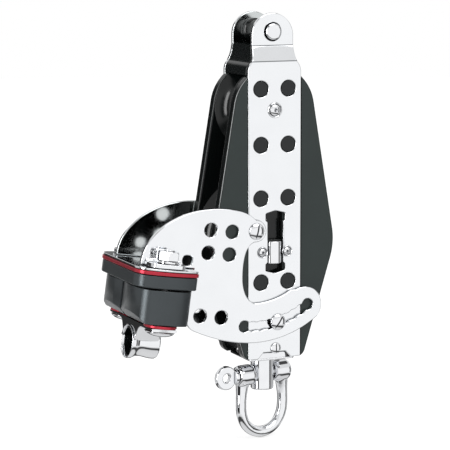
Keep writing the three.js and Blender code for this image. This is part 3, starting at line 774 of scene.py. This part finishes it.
def head_block():
    """The filler between the straps' heads, saddled over the upper sheave and squeezed in with the bends."""
    saddle = 26.4
    half = 17
    thick = 15.3
    low = UPPER_Z + sqrt(saddle ** 2 - half ** 2)
    right = [(half, low + 0.01), (half, 98.5)]
    right += bezier((half, 98.5), (half, 101.8), (14.6, 104), steps=8)
    right += bezier((14.6, 104), (12.7, 107.5), (12.7, 114.2), steps=8)
    left = [(-x, z) for x, z in reversed(right)]
    reach = asin(half / saddle) * 180 / pi
    outline = right + left + arc(0, UPPER_Z, saddle, 90 + reach, 90 - reach, 36)
    body = plate(outline, [], -thick, thick, edge=0.7)
    low_z = BEND_LOW - 0.8
    high_z = BEND_HIGH - 0.8

    def squeeze(p):
        share = min(1, max(0, (p.z - low_z) / (high_z - low_z)))
        return Vector((p.x, p.y * (thick - LUG_STEP * share) / thick, p.z))

    return bend_at(body, [low_z, high_z], squeeze)


def bobbin():
    """The becket's spool: a waist between two flanges."""
    profile = [(4.8, 0), (4.8, -12.2), (6.9, -12.2), (6.9, -9.8)]
    profile += bezier((6.9, -9.8), (5.5, -8.6), (5.5, -5.5), steps=6)
    profile += bezier((5.5, 5.5), (5.5, 8.6), (6.9, 9.8), steps=6)
    profile += [(6.9, 12.2), (4.8, 12.2)]
    return lathe(profile, at=(0, 0, BECKET_Z))


# ---- screws

def on_side(x, z):
    """A place on a side plate as a point of the middle plane."""
    return (x, 0, z)


def hexagon(r, turn=0):
    """Six corners, turned by some degrees."""
    turns = [radians(60 * k + turn) for k in range(6)]
    return [(r * cos(a), r * sin(a)) for a in turns]


def socket_screw(side, at, head, rise, shank, tip):
    """A screw from depth tip to a low domed head with a hexagon socket, and a raised rim round the head."""
    sit = STRAP_OUT + 0.02
    cap = head * 0.74
    crown = [(head, sit), (head, sit + 0.4), (head * 0.92, sit + 0.8), (head * 0.76, sit + 0.1)]
    crown += [(cap, sit + 0.1), (cap, sit + rise * 0.3)]
    crown += bezier((cap, sit + rise * 0.3), (cap * 0.8, sit + rise * 0.8), (cap * 0.4, sit + rise), steps=10)
    profile = [(0, tip), (shank, tip), (shank, sit)] + crown + [(0, sit + rise)]
    body = lathe(profile, at=at, edge=0.08)
    socket = plate(hexagon(cap * 0.4), [], sit - 1.6, sit + rise + 2, edge=0.02, steps=1)
    socket.transform(Matrix.Translation(at))
    body = boolean(body, [socket])
    return body if side > 0 else mirrored(body)


def slotted_screw(side, at, head, rise, shank, tip, sit, turn):
    """A screw from depth tip to an oval head, with a driver slot turned by some degrees."""
    shoulder = sit + rise * 0.3
    top = sit + rise
    crown = [(head, sit), (head, shoulder)]
    crown += bezier((head, shoulder), (head * 0.75, sit + rise * 0.9), (head * 0.1, top), steps=14)
    body = lathe([(0, tip), (shank, tip), (shank, sit)] + crown + [(0, top)], at=at, edge=0.1)
    half = head * 0.1
    slot = box((-half, sit + rise * 0.35, -head * 2), (half, top + 2, head * 2), edge=0)
    slot.transform(Matrix.Translation(at) @ Matrix.Rotation(radians(turn), 4, "Y"))
    body = boolean(body, [slot])
    return body if side > 0 else mirrored(body)


# ---- sheaves

def grooved(radius, groove, bore, z):
    """A sheave: broad flanges, a round-bottomed rope groove and a bore for its balls."""
    flange = FLANGE_Y - 0.3
    profile = [(bore, 0), (bore, -7.5), (bore + 3, -7.5), (bore + 4.5, -flange)]
    profile += [(radius - 1.6, -flange), (radius - 1.2, -FLANGE_Y), (radius - 0.3, -FLANGE_Y)]
    profile += [(radius, -FLANGE_Y + 0.9)]
    right = bezier((radius, -FLANGE_Y + 0.9), (groove + 1.2, -6.4), (groove, -4.2), (groove, 0), steps=14)
    profile += right[1:]
    profile += [(r, -h) for r, h in reversed(profile[1:-1])]
    return lathe(profile, at=(0, 0, z), segments=144, edge=0.15)


def lower_sheave():
    """The large sheave, with the ratchet's teeth round a recess in its near face."""
    tip = 24.8
    root = 27
    phase = 0.58
    pitch = 2 * pi / TEETH
    teeth = []
    for i in range(TEETH):
        at = (i + phase) * pitch
        for r, a in ((tip, at), (root, at + 0.12 * pitch), (root, at + 0.72 * pitch)):
            teeth.append((r * cos(a), r * sin(a)))
    recess = plate(teeth, [], -FLANGE_Y - 1, -7.6, edge=0.02, steps=1)
    return boolean(grooved(LOWER_R, 30, 17.2, 0), [recess])


# ---- ratchet switch

def switch_thumb():
    """The bright thumb piece, rounded towards the front."""
    outline = arc(0, -14.1, 5.2, 216, 324, 20) + [(4.2, -14.6), (-4.2, -14.6)]
    body = plate(outline, [], -12.6, 0.4, edge=0.45, plane="xy")
    body.transform(Matrix.Translation((SWITCH_X, 0, 0)))
    return body


def switch_floor():
    """The black bottom of the pocket that the switch slides in."""
    return box((SWITCH_X - 5.3, -11.9, -18.4), (SWITCH_X + 5.3, -11.5, 18.4), edge=0.1)


def switch_carriage():
    """The black slide that carries the thumb piece."""
    return box((SWITCH_X - 5.2, -15, -13.3), (SWITCH_X + 5.2, -12, 1.1), edge=0.4)


# ---- foot, swivel and shackle

# The bore for the shackle's pin, in the swivel and in both ears
PIN_BORE = 3.4
# The inner and outer faces of the ears, and half the distance between the legs
EAR_IN = 7.4
EAR_OUT = 18.5
LEG_X = 15.2
# The radius of the bar, how far its crown hangs below the pin, and how far its legs are straight
WIRE_R = 3.25
CROWN = 35.75
STRAIGHT = 19


def swivel_block():
    """A plate under the straps' ends, a pad in their notches and a core between the cheeks."""
    foot = rectangle((-14.5, -15.3), (14.5, 15.3), 2.5)
    raised = rectangle((-8.8, -15.3), (8.8, 15.3), 1)
    return merged(
        plate(foot, [], -70.4, STRAP_FOOT - 0.2, edge=0.5, plane="xy"),
        plate(raised, [], -69.6, -65.6, edge=0.6, plane="xy"),
        box((-11, -11.2, -69.4), (11, 11.2, -52), edge=1),
    )


def swivel_post():
    """The swivel's barrel, with a bore for the pin, and its stem in the foot."""
    profile = [(0, -90.3), (6.3, -90.3), (6.9, -89.7), (6.9, -70.7), (4, -70.7), (4, -45.6), (0, -45.6)]
    post = lathe(profile, "z", edge=0.5, segments=96)
    return boolean(post, [rod(PIN_BORE, -10, 10, "x", (0, 0, POST_Z))])


def shackle_bow():
    """A round bar bent to a U, which thickens into two ears."""
    bottom = -STRAIGHT - (CROWN - STRAIGHT) * 4 / 3
    curve = bezier((-LEG_X, -STRAIGHT), (-LEG_X, bottom), (LEG_X, bottom), (LEG_X, -STRAIGHT), steps=40)
    path = [(-LEG_X, -z) for z in range(0, 18, 2)]
    path += curve
    path += [(LEG_X, -z) for z in range(16, -2, -2)]
    swell = [max(0, 1 + z / 15) for x, z in path]
    radii = [WIRE_R + 1.7 * share ** 1.6 for share in swell]
    path = [(x - (1.2 if x > 0 else -1.2) * share, 0, z) for (x, z), share in zip(path, swell)]
    ears = []
    for s in (-1, 1):
        low, high = sorted((s * EAR_IN, s * EAR_OUT))
        ears.append(rod(6.2, low, high, "x", edge=2.2))
    bow = forged(merged(sweep(path, radii), *ears), voxel=0.36, smooth=6)
    room = box((-EAR_IN, -10, -9), (EAR_IN, 10, 10), edge=0)
    bow = boolean(bow, [room, rod(PIN_BORE, -30, 30, "x")])
    bow.transform(Matrix.Translation((0, 0, POST_Z)))
    return bow


def shackle_pin():
    """A shank through both ears, and a flat eye at its head."""
    shank = [
        (0, -21), (4.4, -21), (4.4, -EAR_OUT - 0.3), (3.2, -EAR_OUT - 0.3), (3.2, EAR_OUT - 0.4),
        (2.6, EAR_OUT + 0.2), (0, EAR_OUT + 0.2),
    ]
    eye = plate(circle(-26.4, 0, 7.1, 64), [circle(-26.4, 0, 2.6)], -1.7, 1.7, edge=0.8, steps=4)
    pin = merged(lathe(shank, "x", edge=0.4), eye)
    pin.transform(Matrix.Translation((0, 0, POST_Z)))
    return pin


# ---- arm

# The upper and lower face of the arm's feet, which carry the cleat
FOOT_TOP = -21.8
FOOT_LOW = -24.2
# The upper and lower face of the cams
CAM_TOP = -36.6
CAM_FOOT = -56.3
# The bore for a cam's bolt
BOLT_BORE = 3.1
# The middle of the fairlead's eye
LEAD_CENTRE = (0, 0, -71.6)


def arm_outline():
    """A boss round the pivot, a curved back down to the foot, and a tail that holds the curved slot."""
    boss = 6.3
    out = arc(0, 0, boss, -90, 97.2, 30)
    out += bezier(out[-1], (-5, 9.4), (-9, 10.9), (-18, 11.3), steps=12)[1:]
    out += bezier((-18, 11.3), (-33, 11.3), (-45, 7.6), (-56, -0.5), steps=24)[1:]
    out += bezier((-56, -0.5), (-64.5, -8), (-68.5, -15), (-68.8, -23), steps=16)[1:]
    out += [(-68.8, FOOT_LOW), (-36, FOOT_LOW), (-36, -55)]
    out += bezier((-36, -55), (-36, -59.3), (-30.5, -60.8), steps=10)[1:]
    out += bezier((-30.5, -60.8), (-20, -64), (-10, -65.6), (0.6, -65.4), steps=16)[1:]
    out += arc(0, 0, 65.4, -89.4, -49.5, 32)[1:]
    out += arc(37.1, -40.5, 10.8, -35, 128, 32)
    out += arc(0, 0, 42.2, -50, -84, 24)
    out += bezier(out[-1], (0.2, -40.6), (-3.2, -36.5), (-4.6, -29.2), steps=14)[1:]
    out += bezier((-4.6, -29.2), (-5.9, -21), (-5.8, -12.5), (-3.2, -9), steps=14)[1:]
    out += bezier((-3.2, -9), (-2, -7.2), (0, -boss), steps=6)[1:]
    return out


def lock_slot():
    """The curved slot with its row of detents, as a loop about the pivot."""
    detents = 9
    first = 0.2
    last = 44.2
    end_r = 3.4
    mid_r = 2.9
    band = 2.4
    turns = [first + (last - first) * i / (detents - 1) for i in range(detents)]
    reach = asin(end_r / SLOT_R) * 180 / pi

    def edges(turn):
        """How far from the pivot the slot begins and ends, at some degrees."""
        outer = inner = None
        if first <= turn <= last:
            outer, inner = SLOT_R + band, SLOT_R - band
        for i, at in enumerate(turns):
            r = end_r if i in (0, detents - 1) else mid_r
            off = radians(turn - at)
            inside = r ** 2 - (SLOT_R * sin(off)) ** 2
            if inside < 0:
                continue
            half = sqrt(inside)
            middle = SLOT_R * cos(off)
            outer = max(outer or 0, middle + half)
            inner = min(inner or 1e9, middle - half)
        return outer, inner

    steps = 150
    # A hair short of the ends, where the two edges meet
    low = first - reach * 0.9995
    high = last + reach * 0.9995
    upper, lower = [], []
    for i in range(steps + 1):
        turn = low + (high - low) * (i / steps)
        outer, inner = edges(turn)
        a = radians(turn)
        upper.append((outer * sin(a), -outer * cos(a)))
        lower.append((inner * sin(a), -inner * cos(a)))
    return upper + lower[::-1]


def arm_plate(side):
    """An upright plate with its holes, a foot that turns outwards for the cleat, and the bend between."""
    holes = [circle(0, 0, 3.15), lock_slot()]
    holes += [circle(u, w, 4.05) for u in (-28.4, -15.1) for w in (-1.5, -14.7, -51.4)]
    holes.append(rectangle((-43.7, -23), (-37.3, -17), 2.8))
    upright = plate(arm_outline(), holes, ARM_IN, ARM_OUT, edge=0.55, steps=4)
    flange = rounded([(-67, ARM_OUT - 1.2), (-44.6, ARM_OUT - 1.2), (-46, 34, 5), (-66, 34, 5)])
    bore = circle(CLEAT_U, CAM_Y, BOLT_BORE)
    foot = plate(flange, [bore], FOOT_LOW, FOOT_TOP, edge=0.35, plane="xy")
    corner = [(ARM_OUT - 0.3, FOOT_TOP - 0.3), (ARM_OUT - 0.3, FOOT_TOP + 2.2)]
    corner += bezier((ARM_OUT, FOOT_TOP + 2.2), (ARM_OUT, FOOT_TOP), (ARM_OUT + 2.2, FOOT_TOP), steps=6)
    corner += [(ARM_OUT + 2.2, FOOT_TOP - 0.3)]
    fillet = plate(corner, [], -66.2, -45.4, edge=0.02, steps=1, plane="yz")
    body = merged(upright, foot, fillet)
    return body if side > 0 else mirrored(body)


def cleat_outline(margin):
    """The cleat from above, smaller by a margin: bowed ends, and large corners away from the block."""
    left = -74.5 + margin
    right = -36.8 - margin
    end = 36 - margin
    half = [(right, 0), (right, end - 7)]
    half += bezier((right, end - 7), (right, end - 3), (right - 3, end - 2.6), steps=8)
    half += bezier((right - 3, end - 2.6), (CLEAT_U + 4, end + 0.6), (CLEAT_U - 4, end), steps=24)
    half += bezier((CLEAT_U - 4, end), (left + 8, end), (left + 0.4, end - 2), (left, end - 12), steps=24)
    half += [(left, 0)]
    return half + [(x, -y) for x, y in reversed(half)][1:-1]


def cleat_layer(margin, low, high, edge):
    """One layer of the cleat, with bores for the two bolts."""
    bores = [circle(CLEAT_U, s * CAM_Y, BOLT_BORE) for s in (-1, 1)]
    return plate(cleat_outline(margin), bores, low, high, edge=edge, plane="xy")


def cam(side):
    """A cam: a toothed spiral face towards the middle plane and a boxy, round-cornered back."""
    growth = 0.3
    start = 25.3
    depth = 0.9
    teeth = 15
    steps = teeth * 4
    outline = []
    for i in range(steps + 1):
        turn = radians(33 - 63 * i / steps)
        bite = depth * (0.5 - 0.5 * cos(2 * pi * i / 4)) * (1 if 2 < i < steps - 2 else 0)
        radius = start * exp(-growth * turn) - bite
        outline.append((CLEAT_U + radius * sin(turn), -CAM_Y + radius * cos(turn)))
    outline += [(-71.2, -9)]
    outline += bezier((-71.2, -9), (-72.4, -20), (-72, -33), (-60, -35), steps=28)[1:]
    outline += bezier((-60, -35), (-54, -36), (-48, -35.8), (-42, -33), steps=24)[1:]
    outline += bezier((-42, -33), (-39.2, -31), (-39, -24), (-39.8, -18), steps=12)[1:]
    body = plate(outline, [circle(CLEAT_U, -CAM_Y, 4.1)], CAM_FOOT, CAM_TOP, edge=0.5, plane="xy")
    bevel = [(-73.4, -49.4), (-65, -57.4), (-70, -62), (-84, -50)]
    body = boolean(body, [plate(bevel, [], -50, 0, edge=0.02, steps=1)])
    return body if side < 0 else mirrored(body)


def cam_bolt(side):
    """A bolt with a low domed head under the cam."""
    dome = bezier((0, -63.6), (5.5, -63.5), (8.6, -62), (8.8, -60.4), steps=14)
    profile = dome + [(2.9, -60.4), (2.9, -14), (0, -14)]
    return lathe(profile, "z", (CLEAT_U, side * CAM_Y, 0), edge=0.2)


def bolt_nut(side):
    """A hexagon nut with its upper corners turned off."""
    ring = [(x + CLEAT_U, y + side * CAM_Y, 0.6) for x, y in hexagon(6.3, 8)]
    bore = circle(CLEAT_U, side * CAM_Y, BOLT_BORE)
    nut = plate(rounded(ring, 4), [bore], -20, -14.7, edge=0.4, plane="xy")
    profile = [(0, -20.2), (6.25, -20.2), (6.25, -15.8), (5.2, -14.6), (0, -14.6)]
    limit = lathe(profile, "z", (CLEAT_U, side * CAM_Y, 0))
    return boolean(nut, [limit], "INTERSECT")


def ring_on_bolt(side, inner, outer, low, high, edge=0.25):
    """A washer or a bush round a cam's bolt."""
    return tube(inner, outer, low, high, "z", (CLEAT_U, side * CAM_Y, 0), edge=edge)


def fairlead():
    """An eye with a flared mouth at each end, under a saddle that the two bolts hold."""
    level = -60.1
    top = level + 1.6
    half = [(0, top), (34, top), (34, level)]
    half += bezier((17.5, level), (13, level), (12, -64), (9, -69.4), steps=12)
    outline = half + [(-y, z) for y, z in reversed(half)][:-1]
    saddle = plate(outline, [], -62.5, -47.5, edge=0.3, plane="yz")
    bores = [rod(BOLT_BORE, -90, 0, "z", (CLEAT_U, s * CAM_Y, 0)) for s in (-1, 1)]
    saddle = boolean(saddle, [*bores, rod(7.6, -80, -30, "x", LEAD_CENTRE)])
    flare = [(7.2, -54), (7.2, -46.5)]
    flare += bezier((7.2, -46.5), (7.4, -45), (9.4, -45), (9.4, -47), steps=8)[1:]
    flare += bezier((9.4, -47), (9.4, -51), (8.3, -53), (8.3, -56), steps=12)[1:]
    flare += bezier((8.3, -56), (8.3, -59.5), (9.9, -60), (9.9, -62), steps=10)[1:]
    flare += bezier((9.9, -62), (9.9, -63.9), (9.2, -64.3), (8.7, -62.8), (8, -59), steps=12)[1:]
    return merged(saddle, lathe(flare, "x", LEAD_CENTRE, edge=0.25, segments=96))


def black_bore_shade():
    """A black sleeve inside the fairlead's bore, opening into its mouth: painted shade for the inside of the
    bore.
    """
    outer = [(7.3, -46.8), (7.3, -54), (8.1, -59), (8.45, -61.4)]
    inner = [(8.2, -61.6), (7.85, -59), (7, -54), (7, -46.8)]
    return lathe(outer + inner, "x", LEAD_CENTRE, edge=0.1, segments=96)


# ---- assembly

def dress_side(name, side):
    """A cheek, its strap and the screws through them."""
    piece(name + "_cheek_shell", cheek(side), "cheek", "block", [name + "_cheek"])
    piece(name + "_pips", pips(side), "cheek_pip", "block")
    piece(name + "_strap_plate", strap(side), "polished_steel", "block", [name + "_strap"])
    axle = socket_screw(side, on_side(0, UPPER_Z), head=4.4, rise=1.5, shank=2.4, tip=6)
    piece(name + "_axle_cap", axle, "chrome", "block", [name + "_upper_axle_screw"])
    for hand, sign in (("left", -1), ("right", 1)):
        at = on_side(sign * HUB_SCREW[0], HUB_SCREW[1])
        screw = socket_screw(side, at, head=3.2, rise=1.1, shank=1.3, tip=5)
        piece(f"{name}_hub_cap_{hand}", screw, "chrome", "block", [f"{name}_hub_screw_{hand}"])
    sit = ARM_OUT + SEAT
    pivot = slotted_screw(side, on_side(*PIVOT), head=4.6, rise=2.2, shank=2.95, tip=12.6, sit=sit, turn=14)
    piece(name + "_pivot_bolt", pivot, "chrome", "block", [name + "_pivot_screw"])
    lock = slotted_screw(side, on_side(*LOCK), head=4.6, rise=2.2, shank=2.1, tip=12.6, sit=sit, turn=35)
    piece(name + "_lock_bolt", lock, "chrome", "block", [name + "_lock_screw"])


def dress_middle():
    """The becket, the sheaves and the ratchet's switch."""
    becket = rod(4.7, -17, 17, at=on_side(0, BECKET_Z), segments=72, edge=1.1)
    piece("becket_axle", becket, "chrome", "block", ["becket_pin"])
    piece("becket_spool", bobbin(), "black_gloss", "block", ["becket_bobbin"])
    piece("head_filler", head_block(), "black_gloss", "block", ["head_block"])
    upper = grooved(UPPER_R, 18.6, 10.8, UPPER_Z)
    piece("upper_wheel", upper, "black_gloss", "upper_sheave", ["upper_sheave"])
    piece("lower_wheel", lower_sheave(), "black_gloss", "lower_sheave", ["lower_sheave"])
    piece("switch_thumb", switch_thumb(), "chrome", "switch", ["ratchet_switch"])
    piece("switch_carriage", switch_carriage(), "black_gloss", "switch")
    piece("switch_floor", switch_floor(), "black_gloss", "block")


def dress_foot():
    """The foot with its set screw, the swivel and the shackle."""
    piece("foot_casting", swivel_block(), "chrome", "block", ["swivel_block"])
    sit = STRAP_OUT + SEAT
    screw = slotted_screw(-1, on_side(*SET_SCREW), head=3.2, rise=1.3, shank=1.7, tip=8, sit=sit, turn=0)
    piece("foot_screw", screw, "chrome", "block", ["set_screw"])
    piece("swivel_barrel", swivel_post(), "chrome", "swivel", ["swivel_post"], TO_SHACKLE)
    piece("shackle_hoop", shackle_bow(), "chrome", "bow", ["shackle_bow"], TO_SHACKLE, weighted=False)
    piece("shackle_bolt", shackle_pin(), "chrome", "pin", ["shackle_pin"], TO_SHACKLE)


def place_on_arm(prefix, rows):
    """Places rows of (name, CAD node, material, mesh); the prefix goes before both names."""
    for name, node, material, mesh in rows:
        piece(prefix + name, mesh, material, "arm", [prefix + node], TO_ARM)


def dress_arm_side(name, side):
    """A plate of the arm, and a cam on its bolt."""
    place_on_arm(name, [
        ("_arm", "_arm_plate", "polished_steel", arm_plate(side)),
        ("_cleat_bolt", "_cam_bolt", "chrome", cam_bolt(side)),
        ("_nut", "_bolt_nut", "chrome", bolt_nut(side)),
        ("_washer", "_bolt_washer", "chrome", ring_on_bolt(side, BOLT_BORE, 6.3, -21.5, -20.3)),
        ("_red_disc", "_red_washer", "red_anodised", ring_on_bolt(side, BOLT_BORE, 9.4, -58.2, -56.6, 0.35)),
        ("_bush", "_cam_bush", "bearing", ring_on_bolt(side, 3.05, 3.9, -56, -36.8)),
    ])
    piece(name + "_jaw", cam(side), "charcoal_anodised", name + "_cam", [name + "_cam"], TO_ARM)


def dress_cleat():
    """The three layers of the cleat, and the fairlead under it."""
    place_on_arm("", [
        ("cleat_top", "cleat_platform", "platform_steel", cleat_layer(0.3, -25.7, -24.5, 0.35)),
        ("cleat_red_band", "cleat_gasket", "red_anodised", cleat_layer(0, -28, -26, 0.3)),
        ("cleat_body", "cleat_base", "charcoal_anodised", cleat_layer(0.4, -35.6, -28.3, 0.7)),
        ("lead_tube", "fairlead", "lead_chrome", fairlead()),
    ])
    # painted shade: a black sleeve in the fairlead's bore
    piece("lead_bore", black_bore_shade(), "black_gloss", "arm", to=TO_ARM)


# The sealed inner CAD nodes, by material
KEPT = {
    "inner_steel": [
        "upper_axle_tube", "upper_inner_race", "lower_hub", "lower_inner_race", "swivel_nut",
        "right_pawl", "left_pawl", "right_pawl_pin", "left_pawl_pin",
    ],
    "bearing": ["upper_ball_cage", "lower_ball_cage"],
}

for name, side in SIDES.items():
    dress_side(name, side)
dress_middle()
dress_foot()
for name, side in SIDES.items():
    dress_arm_side(name, side)
dress_cleat()
for material, nodes in KEPT.items():
    for node in nodes:
        keep(node, material)


# ---- studio

# Grey levels round the tent: (degrees from the front towards the left, level)
TENT = [
    (-180, 0.95), (-164, 0.95), (-158, 0.1), (-150, 0.1), (-144, 0.85), (-116, 0.85), (-110, 0.45),
    (-74, 0.45), (-69, 0.02), (-59, 0.02), (-53, 1.0), (50, 1.0), (57, 0.02), (102, 0.02),
    (108, 0.6), (141, 0.6), (146, 0.03), (167, 0.03), (172, 0.95), (180, 0.95),
]
# Grey levels of floor and roof: (sine of the elevation, level)
ROOF = [
    (-1, 0.75), (-0.76, 0.7), (-0.7, 0.06), (-0.56, 0.06), (-0.48, 0.8), (0.72, 0.8),
    (0.76, 0.06), (0.86, 0.06), (0.9, 1.0), (1, 1.0),
]
# How far the walls of the tent reach up and down: (sine of the elevation, share of the walls)
WALLS = [(-1, 0.0), (-0.45, 0.0), (-0.38, 1.0), (0.3, 1.0), (0.38, 0.0), (1, 0.0)]


def studio_world():
    """A white tent with dark gaps for the polished metal to mirror, and a white backdrop."""
    world = bpy.data.worlds.new("tent")
    bpy.context.scene.world = world
    world.use_nodes = True
    t = Tree(world.node_tree)
    way = t.parts(t.add("ShaderNodeTexCoord").outputs["Generated"])
    turn = t.math("ARCTAN2", t.math("MULTIPLY", way["X"], -1.0), t.math("MULTIPLY", way["Y"], -1.0))
    round_share = t.between(turn, 0.0, 1.0, -pi, pi)
    height_share = t.between(way["Z"], 0.0, 1.0, -1.0, 1.0)
    walls = t.ramp(round_share, [(turn_at / 360 + 0.5, level) for turn_at, level in TENT])
    roof = t.ramp(height_share, [(sine / 2 + 0.5, level) for sine, level in ROOF])
    reach = t.ramp(height_share, [(sine / 2 + 0.5, level) for sine, level in WALLS])
    seen = t.add("ShaderNodeLightPath").outputs["Is Camera Ray"]
    background = t.tree.nodes["Background"]
    t.feed(background.inputs["Color"], t.mix(seen, t.mix(reach, roof, walls), rgb(1.0, 1.0, 1.0)))
    background.inputs["Strength"].default_value = 1.0


def floor_white():
    """A pale matt floor that gives off a little light of its own."""
    n = Nodes("floor_white")
    grain = n.noise(3.0)
    n.set(Base_Color=n.mix(grain, rgb(0.34, 0.34, 0.34), rgb(0.36, 0.36, 0.36)), Roughness=0.9)
    return n.set(Emission_Color=rgb(1.0, 1.0, 1.0), Emission_Strength=0.74, Specular_IOR_Level=0.0)


def studio_floor():
    """A round floor just under the part, which the metal doesn't mirror."""
    bm = bmesh.new()
    bmesh.ops.create_circle(bm, cap_ends=True, segments=96, radius=3)
    mesh = finished(bm, "floor")
    mesh.materials.append(floor_white())
    floor = bpy.data.objects.new("floor", mesh)
    gap = 0.0005
    floor.location.z = CAD_BOX[0].z - gap
    floor.visible_glossy = False
    bpy.context.scene.collection.objects.link(floor)


def aimed(name, data, spot):
    """A lamp that looks at the middle of the part and isn't seen itself."""
    middle = Vector((0, 0, -0.1))
    obj = bpy.data.objects.new(name, data)
    obj.location = spot
    obj.rotation_mode = "QUATERNION"
    obj.rotation_quaternion = (middle - Vector(spot)).to_track_quat("-Z", "Y")
    obj.visible_camera = False
    bpy.context.scene.collection.objects.link(obj)


def studio_lamps():
    """A broad overhead light, and a tall softbox on the left that draws the highlights on the black parts."""
    sun = bpy.data.lights.new("overhead", "SUN")
    sun.energy = 1.3
    sun.angle = radians(50)
    aimed("overhead", sun, (0.3, -0.9, 1.6))
    softbox = bpy.data.lights.new("softbox", "AREA")
    softbox.shape = "RECTANGLE"
    softbox.size = 0.42
    softbox.size_y = 1.3
    softbox.energy = 13
    turn = radians(78)
    distance = 1.3
    aimed("softbox", softbox, (-distance * sin(turn), -distance * cos(turn), 0.1))


def studio_camera():
    """The viewing angle: turned to the left of the near side and a little above it."""
    yaw = radians(23.41)
    elevation = radians(8.32)
    roll = radians(-0.13)
    focal_px = 2000
    frame_px = 450
    distance = 1.166
    aim = Vector((-0.0236, 0, -0.1125))
    back = Vector((-sin(yaw) * cos(elevation), -cos(yaw) * cos(elevation), sin(elevation)))
    data = bpy.data.cameras.new("camera")
    data.sensor_width = 36
    data.lens = data.sensor_width * focal_px / frame_px
    data.clip_start = 0.05
    data.clip_end = 60
    camera = bpy.data.objects.new("camera", data)
    camera.location = aim + back * distance
    camera.rotation_mode = "QUATERNION"
    level = (-back).to_track_quat("-Z", "Y")
    camera.rotation_quaternion = level @ Matrix.Rotation(roll, 4, "Z").to_quaternion()
    bpy.context.scene.collection.objects.link(camera)
    bpy.context.scene.camera = camera


studio_world()
studio_floor()
studio_lamps()
studio_camera()
bpy.context.scene.view_settings.view_transform = "Standard"
